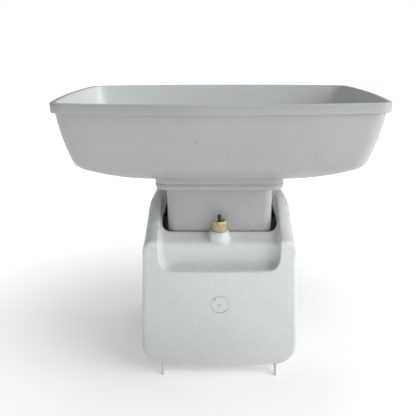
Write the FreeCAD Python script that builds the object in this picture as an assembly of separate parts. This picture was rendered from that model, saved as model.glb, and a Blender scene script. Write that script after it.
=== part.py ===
import FreeCAD, Part
import math
import os

# Spring kitchen scale with a lift-off pan. Millimetres, +Z up, origin on the table under the
# middle of the pan. The dial looks along -Y; the zero knob is at the back, on the +Y side.

# ---- driving dimensions -------------------------------------------------------------------
total_height = 278.0
travel = 14.0                 # how far a full load pushes the pan down
running_gap = 0.05            # radial clearance of a shaft that turns in its hole
screw_gap = 0.1               # radial clearance of a screw in its hole
beyond = 100.0                # reach of a cutter that has to pass the outside of the scale

# screws and rivets
screw_shank = 1.4
screw_head = 2.8
screw_head_height = 1.6
screw_slot = 0.7
short_shank = 1.3             # thinner screws that cut their thread in sheet steel
pilot_radius = 1.5            # hole in a plastic post
post_radius = 4.0
rivet_radius = 1.5
rivet_head = 2.6
rivet_tail = 2.3

# pan: long sides bow outwards more than the short ones
pan_half_x = 150.0
pan_half_y = 102.5
pan_bow_long = 13.0
pan_bow_short = 6.0
pan_wall = 2.5
rim_height = 8.5
rim_proud = 2.3
pan_bend_z = 219.0
pan_bend_half_x = 136.0
pan_bend_half_y = 82.0
pan_floor_z = 203.0
pan_bulge = 2.6               # how far the walls curve outwards between rim and bend
pan_corner = 12.0
pan_low_corner = 16.0
rim_corner = 13.0
foot_half_x = 62.0
foot_half_y = 49.0
foot_corner = 14.0
foot_wall = 3.0

# platform and neck
lip_bottom = 192.0
lip_top = 196.5
seat_height = 3.0
seat_gap = 0.5
relief_inset = 4.0            # edge left around the pocket in the top of the platform
relief_corner = 5.0
bracket_screw_x = 20.0
bracket_screw_y = 20.0
neck_half_x = 51.5
neck_half_y = 40.0
neck_corner = 9.0
neck_bottom = 118.0
neck_wall = 2.5

# housing
house_bottom = 12.0
house_wall = 2.5
house_foot_half_x = 57.0
house_low_half_x = 78.3
house_mid_half_x = 76.4
house_top_half_x = 72.2
house_low_z = 34.0
house_mid_z = 90.0
house_top_z = 168.0
house_rear_mid_y = 68.0
house_rear_edge_y = 62.0
house_joint_y = -50.0
front_y = -62.0
hole_half_x = 57.0
hole_half_y = 41.2
hole_corner = 8.0
post_length = 14.0
mark_z = 81.8                 # moulding mark on the rear panel
mark_outer = 9.1
mark_inner = 8.4
mark_depth = 0.4

# the top of the housing seen from the side, as (y, z) from the front to the back
top_front = (-80.0, 163.0)
top_crown = (-12.0, 174.5)
top_shoulder = (20.0, 169.5)
top_edge = (61.0, 145.5)
top_back = (72.0, 139.5)

# scoop at the back that leaves room for the zero knob
scoop_half_x = 59.5
scoop_corner = 13.0
scoop_floor_z = 116.0
scoop_wall_y = 54.0
scoop_front_y = -20.0
scoop_ledge_z = 140.5
scoop_edge_z = 148.5
scoop_wall = 2.0
scoop_chamfer = 5.0

# zero knob, boss and screw
knob_y = 49.5
boss_radius = 9.5
boss_bottom = 137.0
boss_top = 152.2
knob_radius = 6.7
knob_height = 10.2
knob_well_radius = 5.0
knob_well_depth = 5.0
groove_radius = 0.4
groove_count = 24
screw_radius = 2.0
screw_top = 167.8
screw_bottom = 108.0
eye_z = 103.5
eye_radius = 1.6

# dial, pointer and gear
dial_z = 88.0
dial_radius = 60.0
window_radius = 55.0
glass_radius = 57.7
glass_thick = 2.0
glass_seat_radius = 60.0
glass_seat_wall = 2.0
glass_seat_depth = 3.0
bezel_width = 4.0
bezel_proud = 2.2
bezel_lap = 2.0
head_recess_radius = 3.2
head_recess_depth = 3.0
dial_y = -51.0                # front of the dial plate
dial_sheet = 1.0
pointer_y = -55.0
pointer_sheet = 0.6
pointer_reach = 46.0
pointer_tail = 13.0
shaft_front_y = -55.8
shaft_length = 42.5
shaft_radius = 1.2
gear_module = 0.4
gear_teeth = 12
gear_y = (-24.0, -19.0)
pressure_angle = math.radians(20.0)
backlash = 0.1
rack_back = 5.0               # from the pitch line to the back of the rack
rack_rivet_drop = 12.5
rack_rivet_reach = 11.0

# frame and levers
frame_half_x = 40.0
frame_sheet = 2.0
frame_front_y = -38.0
frame_top = 100.0
frame_rear_y = 30.0
frame_flange = 10.0
frame_window = (-20.0, 20.0, 22.0, 60.0)
dial_post_length = 12.0
pivot_y = -30.0
lever_length = 50.0
lower_pivot_z = 33.0
upper_pivot_z = 93.0
lever_sheet = 2.0
lever_half_x = 35.0
lever_half_width = 4.0
lever_slot_reach = 0.6        # the far pins slide this much in their slots
lever_web = (20.0, 28.0)
pin_radius = 2.0
pin_overhang = 1.5
bracket_half_x = 30.0
bracket_sheet = 2.0
bracket_front_y = 10.0
bracket_rear_y = 30.0
bracket_back_top = 112.0
bracket_cross_drop = 18.0
bracket_cross_height = 12.0
arm_z = 44.0
arm_half_x = 6.0
arm_end_y = 54.0
arm_tab_y = 45.0
tab_half = 0.8
tab_height = 10.0

# bearing bracket and bushes
bearing_left = -14.0
bearing_right = 5.5
bearing_sheet = 1.5
bearing_y = -16.0
bearing_drop = 6.0
bearing_rise = 2.0
bearing_top = 5.0
bearing_foot_x = -23.0
front_bush_radius = 3.5
rear_bush_radius = 2.6
bush_flange = 1.0

# feet
rear_fin_half = 1.3
rear_fin_out = 0.5
rear_fin_top = (45.0, 63.5)
rear_fin_tip = (61.5, 65.0)
front_foot_y = -40.0
front_foot_low = 5.5
front_foot_high = 7.0
front_plug_radius = 2.5
front_plug_length = 4.5

# main spring
spring_wire = 0.7
spring_coil = 5.6
spring_ring = 4.0
spring_turns = 20
arm_eye_rise = 6.0            # centre of the spring's hole above the arm

pitch_radius = gear_module * gear_teeth / 2.0
tilt = math.asin(travel / 2.0 / lever_length)
pin_y = pivot_y + lever_length * (1.0 + math.cos(tilt)) / 2.0
floor_top = house_bottom + house_wall
neck_ceiling = lip_bottom - neck_wall

X_AXIS = FreeCAD.Vector(1, 0, 0)
Y_AXIS = FreeCAD.Vector(0, 1, 0)
Z_AXIS = FreeCAD.Vector(0, 0, 1)


# ---- small helpers ------------------------------------------------------------------------
def vec(x, y, z):
    return FreeCAD.Vector(x, y, z)


def box(x0, x1, y0, y1, z0, z1):
    return Part.makeBox(x1 - x0, y1 - y0, z1 - z0, vec(x0, y0, z0))


def rod(radius, length, base, direction):
    return Part.makeCylinder(radius, length, base, direction)


def join(shapes):
    first = shapes[0]
    return first.multiFuse(shapes[1:]).removeSplitter()


def arc(start, middle, end):
    return Part.Arc(start, middle, end).toShape()


def line(start, end):
    return Part.makeLine(start, end)


def save(name, shape):
    shape.exportStep("parts/" + name + ".step")


def rounded_block(half_x, half_y, corner, z0, z1):
    """Upright block with round vertical edges."""
    block = box(-half_x, half_x, -half_y, half_y, z0, z1)
    upright = [e for e in block.Edges if abs(e.Vertexes[0].Z - e.Vertexes[-1].Z) > 0.5 * (z1 - z0)]
    return block.makeFillet(corner, upright)


def profile_x(points, half_x):
    """Polygon of (y, z) points, extruded to both sides of the middle plane."""
    loop = [vec(-half_x, y, z) for y, z in points]
    loop.append(loop[0])
    return Part.Face(Part.makePolygon(loop)).extrude(X_AXIS * (2.0 * half_x))


def profile_y(points, y0, y1):
    """Polygon of (x, z) points, extruded along Y."""
    loop = [vec(x, y0, z) for x, z in points]
    loop.append(loop[0])
    return Part.Face(Part.makePolygon(loop)).extrude(Y_AXIS * (y1 - y0))


def screw(x, y, z, direction, length, shank=screw_shank, head=screw_head,
          head_height=screw_head_height):
    """Pan-head screw whose head's seat is at (x, y, z); the shank runs along direction."""
    seat = vec(x, y, z)
    shaft = rod(shank, length, seat, direction)
    cap = rod(head, head_height, seat, direction * -1.0)
    slot_centre = seat - direction * head_height
    cutter = Part.makeBox(screw_slot, 2.0 * head, 1.2, vec(-0.5 * screw_slot, -head, -0.6))
    cutter.Placement = FreeCAD.Placement(slot_centre, FreeCAD.Rotation(Z_AXIS, direction))
    return join([shaft, cap]).cut(cutter)


# ---- pan ----------------------------------------------------------------------------------
def bowed_outline(half_x, half_y, bow_short, bow_long, corner, z):
    """Closed outline of four bowed sides and four round corners."""
    corner_x = half_x - bow_short
    corner_y = half_y - bow_long
    long_end = vec(corner_x - corner, half_y - bow_long * ((corner_x - corner) / corner_x) ** 2, z)
    short_end = vec(half_x - bow_short * ((corner_y - corner) / corner_y) ** 2, corner_y - corner, z)
    chord = (short_end - long_end).Length
    turn = math.pi / 2.0 - 2.0 * bow_long / half_x - 2.0 * bow_short / half_y
    sagitta = 0.5 * chord * math.tan(turn / 4.0)
    outward = vec(long_end.y - short_end.y, short_end.x - long_end.x, 0.0).normalize()
    corner_mid = (long_end + short_end) * 0.5 + outward * sagitta

    def flip(p, sx, sy):
        return vec(p.x * sx, p.y * sy, p.z)

    edges = []
    edges.append(arc(flip(long_end, -1, 1), vec(0, half_y, z), long_end))
    edges.append(arc(long_end, corner_mid, short_end))
    edges.append(arc(short_end, vec(half_x, 0, z), flip(short_end, 1, -1)))
    edges.append(arc(flip(short_end, 1, -1), flip(corner_mid, 1, -1), flip(long_end, 1, -1)))
    edges.append(arc(flip(long_end, 1, -1), vec(0, -half_y, z), flip(long_end, -1, -1)))
    edges.append(arc(flip(long_end, -1, -1), flip(corner_mid, -1, -1), flip(short_end, -1, -1)))
    edges.append(arc(flip(short_end, -1, -1), vec(-half_x, 0, z), flip(short_end, -1, 1)))
    edges.append(arc(flip(short_end, -1, 1), flip(corner_mid, -1, 1), flip(long_end, -1, 1)))
    return Part.Wire(edges)


def pan_level(step, inset):
    """Outline of the bowl at one level; step 0 is the rim, 1 the bend, 2 the flat floor."""
    if step <= 1.0:
        bulge = pan_bulge * math.sin(math.pi * step)
        z = total_height + (pan_bend_z - total_height) * step
        half_x = pan_half_x - rim_proud + (pan_bend_half_x - pan_half_x + rim_proud) * step + bulge
        half_y = pan_half_y - rim_proud + (pan_bend_half_y - pan_half_y + rim_proud) * step + bulge
        corner = pan_corner + (pan_low_corner - pan_corner) * step
        bow = 1.0 - 0.25 * step
    else:
        run = step - 1.0
        dip = math.sin(0.5 * math.pi * run)
        z = pan_bend_z + (pan_floor_z - pan_bend_z) * dip
        half_x = pan_bend_half_x + (foot_half_x - pan_bend_half_x) * run ** 1.3
        half_y = pan_bend_half_y + (foot_half_y - pan_bend_half_y) * run ** 1.3
        corner = pan_low_corner
        bow = 0.75 - 0.6 * run
    return bowed_outline(half_x - inset, half_y - inset, pan_bow_short * bow, pan_bow_long * bow,
                         corner - 0.5 * inset, z + 0.8 * inset * max(0.0, step - 1.0))


def make_pan():
    steps = [0.0, 0.25, 0.5, 0.75, 1.0, 1.2, 1.4, 1.6, 1.8, 2.0]
    outer = Part.makeLoft([pan_level(s, 0.0) for s in steps], True, True)
    inner = Part.makeLoft([pan_level(s, pan_wall) for s in steps], True, True)
    lid = bowed_outline(pan_half_x - rim_proud - pan_wall, pan_half_y - rim_proud - pan_wall,
                        pan_bow_short, pan_bow_long, pan_corner - 0.5 * pan_wall, total_height - 0.01)
    opening = Part.Face(lid).extrude(Z_AXIS * 5.0)
    rim = Part.Face(bowed_outline(pan_half_x, pan_half_y, pan_bow_short, pan_bow_long, rim_corner,
                                  total_height - rim_height)).extrude(Z_AXIS * rim_height)
    foot = rounded_block(foot_half_x, foot_half_y, foot_corner, lip_top, pan_floor_z + 1.0)
    foot_hollow = rounded_block(foot_half_x - foot_wall, foot_half_y - foot_wall,
                                foot_corner - foot_wall, lip_top - 1.0, pan_floor_z)
    shell = join([outer, rim, foot.cut(foot_hollow)])
    return shell.cut(inner).cut(opening)


# ---- platform and neck --------------------------------------------------------------------
platform_screw_places = [(-38.0, -28.0), (38.0, -28.0), (-38.0, 28.0), (38.0, 28.0)]


def make_platform():
    lip = rounded_block(foot_half_x, foot_half_y, foot_corner, lip_bottom, lip_top)
    reach = foot_wall + seat_gap
    seat = rounded_block(foot_half_x - reach, foot_half_y - reach, foot_corner - reach,
                         lip_top, lip_top + seat_height)
    plate = join([lip, seat])
    relief = rounded_block(neck_half_x - relief_inset, neck_half_y - relief_inset, relief_corner,
                           lip_bottom + neck_wall, lip_top + seat_height + 1.0)
    plate = plate.cut(relief)
    for x, y in platform_screw_places:
        boss = rod(post_radius, lip_top - lip_bottom, vec(x, y, lip_bottom), Z_AXIS)
        plate = plate.fuse(boss).removeSplitter()
        plate = plate.cut(rod(pilot_radius, 4.0, vec(x, y, lip_bottom), Z_AXIS))
    return plate


def make_neck():
    outer = rounded_block(neck_half_x, neck_half_y, neck_corner, neck_bottom, lip_bottom)
    inner = rounded_block(neck_half_x - neck_wall, neck_half_y - neck_wall, neck_corner - neck_wall,
                          neck_bottom - 1.0, neck_ceiling)
    neck = outer.cut(inner)
    for x, y in platform_screw_places:
        neck = neck.cut(rod(screw_shank + screw_gap, 6.0, vec(x, y, lip_bottom - 5.0), Z_AXIS))
    return neck


def make_platform_screws():
    screws = [screw(x, y, neck_ceiling, Z_AXIS, 6.0) for x, y in platform_screw_places]
    return Part.makeCompound(screws)


# ---- housing ------------------------------------------------------------------------------
def house_front_view(inset, y0, y1):
    """The housing seen from the front: flat bottom, large lower corners, bulging sides."""
    bottom = house_bottom + inset
    foot = house_foot_half_x
    low = house_low_half_x - inset
    mid = house_mid_half_x - inset
    top = house_top_half_x - inset
    diagonal = math.sqrt(0.5)
    reach = diagonal * (low - foot)
    roof = house_top_z + 50.0
    points = {}
    for side in (-1.0, 1.0):
        points[side] = [vec(side * foot, y0, bottom),
                        vec(side * (foot + reach), y0, house_low_z - diagonal * (house_low_z - bottom)),
                        vec(side * low, y0, house_low_z),
                        vec(side * mid, y0, house_mid_z),
                        vec(side * top, y0, house_top_z),
                        vec(side * top, y0, roof)]
    edges = [line(points[-1.0][0], points[1.0][0])]
    for side in (1.0, -1.0):
        p = points[side]
        edges.append(arc(p[0], p[1], p[2]))
        edges.append(arc(p[2], p[3], p[4]))
        edges.append(line(p[4], p[5]))
    edges.append(line(points[1.0][5], points[-1.0][5]))
    wire = Part.Wire(Part.__sortEdges__(edges))
    return Part.Face(wire).extrude(Y_AXIS * (y1 - y0))


def house_side_view(inset, half_x):
    """The housing seen from the side: the top arches over and falls to the back."""
    start = vec(-half_x, top_front[0], top_front[1] - inset)
    crown = vec(-half_x, top_crown[0], top_crown[1] - inset)
    shoulder = vec(-half_x, top_shoulder[0] - 0.3 * inset, top_shoulder[1] - inset)
    edge = vec(-half_x, top_edge[0] - 0.8 * inset, top_edge[1] - inset)
    back = vec(-half_x, top_back[0], top_back[1] - 1.2 * inset)
    low_back = vec(-half_x, top_back[0], house_bottom - 5.0)
    low_front = vec(-half_x, top_front[0], house_bottom - 5.0)
    edges = [arc(start, crown, shoulder), line(shoulder, edge), line(edge, back)]
    edges += [line(back, low_back), line(low_back, low_front), line(low_front, start)]
    return Part.Face(Part.Wire(edges)).extrude(X_AXIS * (2.0 * half_x))


def house_top_view(inset):
    """The housing seen from above: a crowned back."""
    wide = 90.0
    edge_y = house_rear_edge_y - 1.5 - inset
    mid_y = house_rear_mid_y - inset
    left = vec(-wide, edge_y, 0.0)
    right = vec(wide, edge_y, 0.0)
    front_left = vec(-wide, -wide, 0.0)
    front_right = vec(wide, -wide, 0.0)
    edges = [arc(left, vec(0, mid_y, 0), right), line(right, front_right)]
    edges += [line(front_right, front_left), line(front_left, left)]
    return Part.Face(Part.Wire(edges)).extrude(Z_AXIS * 2.0 * beyond)


def scoop(grow):
    """Space cut into the back of the housing, enlarged by grow for the wall around it."""
    slope = (scoop_edge_z - scoop_ledge_z) / (scoop_wall_y - hole_half_y)
    ledge_top = scoop_edge_z + slope * (hole_half_y - scoop_front_y)
    roof = 2.0 * beyond
    ledge = [(scoop_front_y - grow, roof), (scoop_front_y - grow, ledge_top - grow),
             (scoop_wall_y - grow, scoop_ledge_z - grow),
             (scoop_wall_y - grow, scoop_floor_z + scoop_chamfer - grow),
             (scoop_wall_y + scoop_chamfer - grow, scoop_floor_z - grow),
             (beyond - 10.0, scoop_floor_z - grow), (beyond - 10.0, roof)]
    side = profile_x(ledge, beyond)
    half = scoop_half_x + grow
    corner = scoop_corner + grow
    front = box(-half, half, scoop_front_y - grow, beyond, scoop_floor_z - grow, roof + 10.0)
    low_edges = [e for e in front.Edges if abs(abs(e.Vertexes[0].X) - half) < 1e-6
                 and abs(e.Vertexes[0].Z - (scoop_floor_z - grow)) < 1e-6
                 and abs(e.Vertexes[-1].Z - (scoop_floor_z - grow)) < 1e-6
                 and abs(e.Vertexes[0].Y - e.Vertexes[-1].Y) > 1.0]
    return side.common(front.makeFillet(corner, low_edges))


frame_screw_places = [(-30.0, -28.0), (30.0, -28.0), (-20.0, 22.0), (20.0, 22.0)]
cover_screw_places = [(-62.0, 40.0), (62.0, 40.0), (-62.0, 150.0), (62.0, 150.0)]
foot_places = [-57.0, 57.0]


def make_rear_housing():
    solid = house_front_view(0.0, house_joint_y, 80.0).common(house_side_view(0.0, beyond))
    solid = solid.common(house_top_view(0.0))
    hollow = house_front_view(house_wall, house_joint_y - 10.0, 80.0)
    hollow = hollow.common(house_side_view(house_wall, beyond)).common(house_top_view(house_wall))
    hollow = hollow.cut(scoop(scoop_wall))
    shell = solid.cut(scoop(0.0)).cut(hollow)
    shell = shell.cut(rounded_block(hole_half_x, hole_half_y, hole_corner, scoop_floor_z, 2.0 * beyond))
    boss = rod(boss_radius, boss_top - boss_bottom, vec(0, knob_y, boss_bottom), Z_AXIS)
    half = 2.0 * boss_radius
    boss = boss.common(box(-half, half, hole_half_y, beyond, 0.0, 2.0 * beyond))
    under_ledge = box(-half, half, 0.0, scoop_wall_y - 0.1, 0.0, scoop_ledge_z - scoop_wall)
    shell = shell.fuse(boss.cut(under_ledge)).removeSplitter()
    shell = shell.cut(rod(screw_radius + 0.3, 60.0, vec(0, knob_y, scoop_floor_z - 6.0), Z_AXIS))
    for x, y in frame_screw_places:
        shell = shell.cut(rod(screw_shank + screw_gap, 10.0, vec(x, y, house_bottom - 5.0), Z_AXIS))
    for x in foot_places:
        hole = rod(front_plug_radius + screw_gap, 10.0, vec(x, front_foot_y, house_bottom - 5.0), Z_AXIS)
        shell = shell.cut(hole)
    for x, z in cover_screw_places:
        side = 1.0 if x > 0 else -1.0
        post = rod(post_radius, post_length, vec(x, house_joint_y, z), Y_AXIS)
        far = x + side * 16.0
        rib_end = house_joint_y + post_length
        rib = box(min(x, far), max(x, far), house_joint_y, rib_end, z - 1.0, z + 1.0)
        rib = rib.common(solid)
        shell = shell.fuse(post).fuse(rib).removeSplitter()
        shell = shell.cut(rod(pilot_radius, post_length - 2.0, vec(x, house_joint_y, z), Y_AXIS))
    mark_centre = vec(0, house_rear_mid_y - mark_depth, mark_z)
    ring = rod(mark_outer, 2.0 * mark_depth, mark_centre, Y_AXIS)
    return shell.cut(ring.cut(rod(mark_inner, 2.0 * mark_depth, mark_centre, Y_AXIS)))


def make_front_cover():
    solid = house_front_view(0.0, front_y, house_joint_y).common(house_side_view(0.0, beyond))
    hollow = house_front_view(house_wall, front_y + house_wall, house_joint_y + 1.0)
    hollow = hollow.common(house_side_view(house_wall, beyond))
    cover = solid.cut(hollow)
    cover = cover.cut(rod(window_radius, 20.0, vec(0, front_y - 5.0, dial_z), Y_AXIS))
    for x, z in cover_screw_places:
        post = rod(post_radius, house_joint_y - front_y - 0.1, vec(x, front_y + 0.1, z), Y_AXIS)
        cover = cover.fuse(post).removeSplitter()
        cover = cover.cut(rod(screw_shank + screw_gap, 20.0, vec(x, front_y - 2.0, z), Y_AXIS))
        recess = rod(head_recess_radius, head_recess_depth + 1.0, vec(x, front_y - 1.0, z), Y_AXIS)
        cover = cover.cut(recess)
    seat = rod(glass_seat_radius, glass_seat_depth, vec(0, front_y + house_wall, dial_z), Y_AXIS)
    seat = seat.cut(rod(glass_seat_radius - glass_seat_wall, glass_seat_depth + 2.0,
                        vec(0, front_y + house_wall - 1.0, dial_z), Y_AXIS))
    return cover.fuse(seat).removeSplitter()


def make_cover_screws():
    screws = []
    for x, z in cover_screw_places:
        screws.append(screw(x, front_y + head_recess_depth, z, Y_AXIS, 18.0))
    return Part.makeCompound(screws)


def make_bezel():
    face = vec(0, front_y - bezel_proud, dial_z)
    ring = rod(window_radius + bezel_width, bezel_proud, face, Y_AXIS)
    sleeve = rod(window_radius - screw_gap, bezel_proud + house_wall - screw_gap, face, Y_AXIS)
    bore = rod(window_radius - bezel_lap, 10.0, vec(0, front_y - 4.0, dial_z), Y_AXIS)
    return join([ring, sleeve]).cut(bore)


def make_window():
    return rod(glass_radius, glass_thick, vec(0, front_y + house_wall, dial_z), Y_AXIS)


def make_rear_feet():
    """Two thin fins, wide at the housing and narrow at the table."""
    fins = []
    for x in foot_places:
        side = 1.0 if x > 0 else -1.0
        points = [(rear_fin_top[1], house_bottom), (rear_fin_top[0], house_bottom),
                  (rear_fin_tip[0], 0.0), (rear_fin_tip[1], 0.0)]
        fin = profile_x(points, rear_fin_half)
        fin.translate(vec(x + side * rear_fin_out, 0, 0))
        fins.append(fin)
    return Part.makeCompound(fins)


def make_front_feet():
    feet = []
    for x in foot_places:
        pad = Part.makeCone(front_foot_low, front_foot_high, house_bottom, vec(x, front_foot_y, 0.0),
                            Z_AXIS)
        plug = rod(front_plug_radius, front_plug_length, vec(x, front_foot_y, house_bottom), Z_AXIS)
        feet.append(join([pad, plug]))
    return Part.makeCompound(feet)


# ---- frame --------------------------------------------------------------------------------
dial_post_places = [(-30.0, 70.0), (30.0, 70.0)]
bearing_rivet_places = [(-19.0, 86.0)]


def make_frame():
    half = frame_half_x
    sheet = frame_sheet
    front = box(-half, half, frame_front_y, frame_front_y + sheet, floor_top, frame_top)
    foot = box(-half, half, frame_front_y, frame_rear_y, floor_top, floor_top + sheet)
    plates = [front, foot]
    flange_y = pivot_y + frame_flange
    for side in (-1.0, 1.0):
        x0 = min(side * half, side * (half - sheet))
        plates.append(box(x0, x0 + sheet, frame_front_y, flange_y, floor_top, frame_top))
    frame = join(plates)
    left, right, low, high = frame_window
    frame = frame.cut(box(left, right, frame_front_y - 7.0, pivot_y, low, high))
    for z in (lower_pivot_z, upper_pivot_z):
        frame = frame.cut(rod(pin_radius, 2.0 * half + 4.0, vec(-half - 2.0, pivot_y, z), X_AXIS))
    frame = frame.cut(rod(front_bush_radius, 10.0, vec(0, frame_front_y - 4.0, dial_z), Y_AXIS))
    for x, z in dial_post_places:
        frame = frame.cut(rod(screw_shank + screw_gap, 10.0, vec(x, frame_front_y - 4.0, z), Y_AXIS))
    for x, z in bearing_rivet_places:
        frame = frame.cut(rod(rivet_radius, 10.0, vec(x, frame_front_y - 4.0, z), Y_AXIS))
    for x, y in frame_screw_places:
        frame = frame.cut(rod(short_shank, 10.0, vec(x, y, floor_top - 4.0), Z_AXIS))
    return frame


def make_frame_screws():
    screws = []
    for x, y in frame_screw_places:
        screws.append(screw(x, y, house_bottom, Z_AXIS, 8.0, shank=short_shank))
    return Part.makeCompound(screws)


def make_pivot_pins():
    half = frame_half_x + pin_overhang
    pins = []
    for z in (lower_pivot_z, upper_pivot_z):
        pins.append(rod(pin_radius, 2.0 * half, vec(-half, pivot_y, z), X_AXIS))
    return Part.makeCompound(pins)


def make_bearing_bracket():
    low = dial_z - bearing_drop
    high = dial_z + bearing_rise
    rear_y = bearing_y + bearing_sheet
    side_x = bearing_left + bearing_sheet
    sheet_y = frame_front_y + frame_sheet
    rear = box(bearing_left, bearing_right, bearing_y, rear_y, low, dial_z + bearing_top)
    side = box(bearing_left, side_x, sheet_y, rear_y, low, high)
    flange = box(bearing_foot_x, side_x, sheet_y, sheet_y + bearing_sheet, low, high)
    plate = join([rear, side, flange])
    plate = plate.cut(rod(rear_bush_radius, 6.0, vec(0, bearing_y - 2.0, dial_z), Y_AXIS))
    for x, z in bearing_rivet_places:
        plate = plate.cut(rod(rivet_radius, 6.0, vec(x, frame_front_y, z), Y_AXIS))
    return plate


def make_bearing_rivets():
    rivets = []
    for x, z in bearing_rivet_places:
        grip = frame_sheet + bearing_sheet
        shank = rod(rivet_radius, grip, vec(x, frame_front_y, z), Y_AXIS)
        head = rod(rivet_head, 1.0, vec(x, frame_front_y - 1.0, z), Y_AXIS)
        tail = rod(rivet_tail, 0.8, vec(x, frame_front_y + grip, z), Y_AXIS)
        rivets.append(join([shank, head, tail]))
    return Part.makeCompound(rivets)


def make_bush(radius, flange_radius, y0, length):
    body = rod(radius, length, vec(0, y0, dial_z), Y_AXIS)
    flange = rod(flange_radius, bush_flange, vec(0, y0 + length, dial_z), Y_AXIS)
    bore = rod(shaft_radius + running_gap, length + 4.0, vec(0, y0 - 1.0, dial_z), Y_AXIS)
    return join([body, flange]).cut(bore)


# ---- dial and pointer ---------------------------------------------------------------------
def make_dial_posts():
    posts = []
    for x, z in dial_post_places:
        foot = vec(x, frame_front_y - dial_post_length, z)
        post = rod(pilot_radius + 1.0, dial_post_length, foot, Y_AXIS)
        posts.append(post.cut(rod(pilot_radius, dial_post_length, foot, Y_AXIS)))
    return Part.makeCompound(posts)


def make_dial_plate():
    plate = rod(dial_radius - 6.0, dial_sheet, vec(0, dial_y, dial_z), Y_AXIS)
    plate = plate.cut(rod(3.0, 6.0, vec(0, dial_y - 2.0, dial_z), Y_AXIS))
    for x, z in dial_post_places:
        plate = plate.cut(rod(screw_shank + screw_gap, 6.0, vec(x, dial_y - 2.0, z), Y_AXIS))
    return plate


def make_dial_screws():
    screws = []
    for x, z in dial_post_places:
        screws.append(screw(x, dial_y, z, Y_AXIS, 15.5, head=2.4, head_height=1.0))
    return Part.makeCompound(screws)


def make_pointer_shaft():
    return rod(shaft_radius, shaft_length, vec(0, shaft_front_y, dial_z), Y_AXIS)


def make_pointer():
    tail = dial_z - pointer_tail
    tip = dial_z + pointer_reach
    blade = [(-1.6, tail), (1.6, tail), (1.9, dial_z), (0.35, tip), (-0.35, tip), (-1.9, dial_z)]
    needle = profile_y(blade, pointer_y, pointer_y + pointer_sheet)
    eye = rod(4.0, pointer_sheet, vec(0, pointer_y, dial_z), Y_AXIS)
    return join([needle, eye]).cut(rod(shaft_radius, 4.0, vec(0, pointer_y - 1.0, dial_z), Y_AXIS))


def make_pointer_hub():
    hub = rod(3.0, 1.6, vec(0, pointer_y + pointer_sheet, dial_z), Y_AXIS)
    return hub.cut(rod(shaft_radius, 6.0, vec(0, pointer_y - 2.0, dial_z), Y_AXIS))


def involute_half_angle(radius):
    """Half of a tooth's angle at one radius."""
    base = pitch_radius * math.cos(pressure_angle)
    local = math.acos(min(1.0, base / radius))
    thickness = math.pi * gear_module / 2.0 - backlash / 2.0
    at_pitch = math.tan(pressure_angle) - pressure_angle
    return thickness / (2.0 * pitch_radius) + at_pitch - (math.tan(local) - local)


def make_pinion():
    base = pitch_radius * math.cos(pressure_angle)
    tip = pitch_radius + gear_module
    root = pitch_radius - 1.25 * gear_module
    radii = [root, base] + [base + (tip - base) * k / 3.0 for k in (1, 2, 3)]
    points = []
    for tooth in range(gear_teeth):
        middle = 2.0 * math.pi * tooth / gear_teeth
        flank = []
        for radius in radii:
            half = involute_half_angle(max(radius, base))
            flank.append((radius, half))
        for radius, half in flank:
            points.append((radius * math.cos(middle - half), dial_z + radius * math.sin(middle - half)))
        for radius, half in reversed(flank):
            points.append((radius * math.cos(middle + half), dial_z + radius * math.sin(middle + half)))
    gear = profile_y(points, gear_y[0], gear_y[1])
    return gear.cut(rod(shaft_radius, 10.0, vec(0, gear_y[0] - 2.0, dial_z), Y_AXIS))


def make_rack():
    """Toothed strip on the +X side of the pinion, with an arm back to the carriage."""
    pitch = math.pi * gear_module
    addendum = 0.65 * gear_module
    dedendum = 1.3 * gear_module
    half_at_pitch = pitch / 4.0 - backlash / 4.0
    slope = math.tan(pressure_angle)
    tip_half = half_at_pitch - addendum * slope
    root_half = half_at_pitch + dedendum * slope
    back = pitch_radius + rack_back
    low = dial_z - 16.0
    high = dial_z + travel + 4.0
    points = [(back, low), (pitch_radius + dedendum, low)]
    for tooth in range(-3, 13):
        middle = dial_z + (tooth + 0.5) * pitch
        points.append((pitch_radius + dedendum, middle - root_half))
        points.append((pitch_radius - addendum, middle - tip_half))
        points.append((pitch_radius - addendum, middle + tip_half))
        points.append((pitch_radius + dedendum, middle + root_half))
    points.append((pitch_radius + dedendum, high))
    points.append((back, high))
    strip = profile_y(points, gear_y[0] + 0.5, gear_y[1] - 0.5)
    arm_x = back - 2.0
    tab_y = bracket_front_y - 2.0
    rivet_place = vec(pitch_radius + rack_rivet_reach, tab_y - 2.0, dial_z - rack_rivet_drop)
    arm = box(arm_x, back, gear_y[0] + 0.5, bracket_front_y, low, low + 7.0)
    tab = box(arm_x, back + 12.0, tab_y, bracket_front_y, low, low + 7.0)
    tab = tab.cut(rod(rivet_radius, 6.0, rivet_place, Y_AXIS))
    return join([strip, arm, tab])


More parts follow.
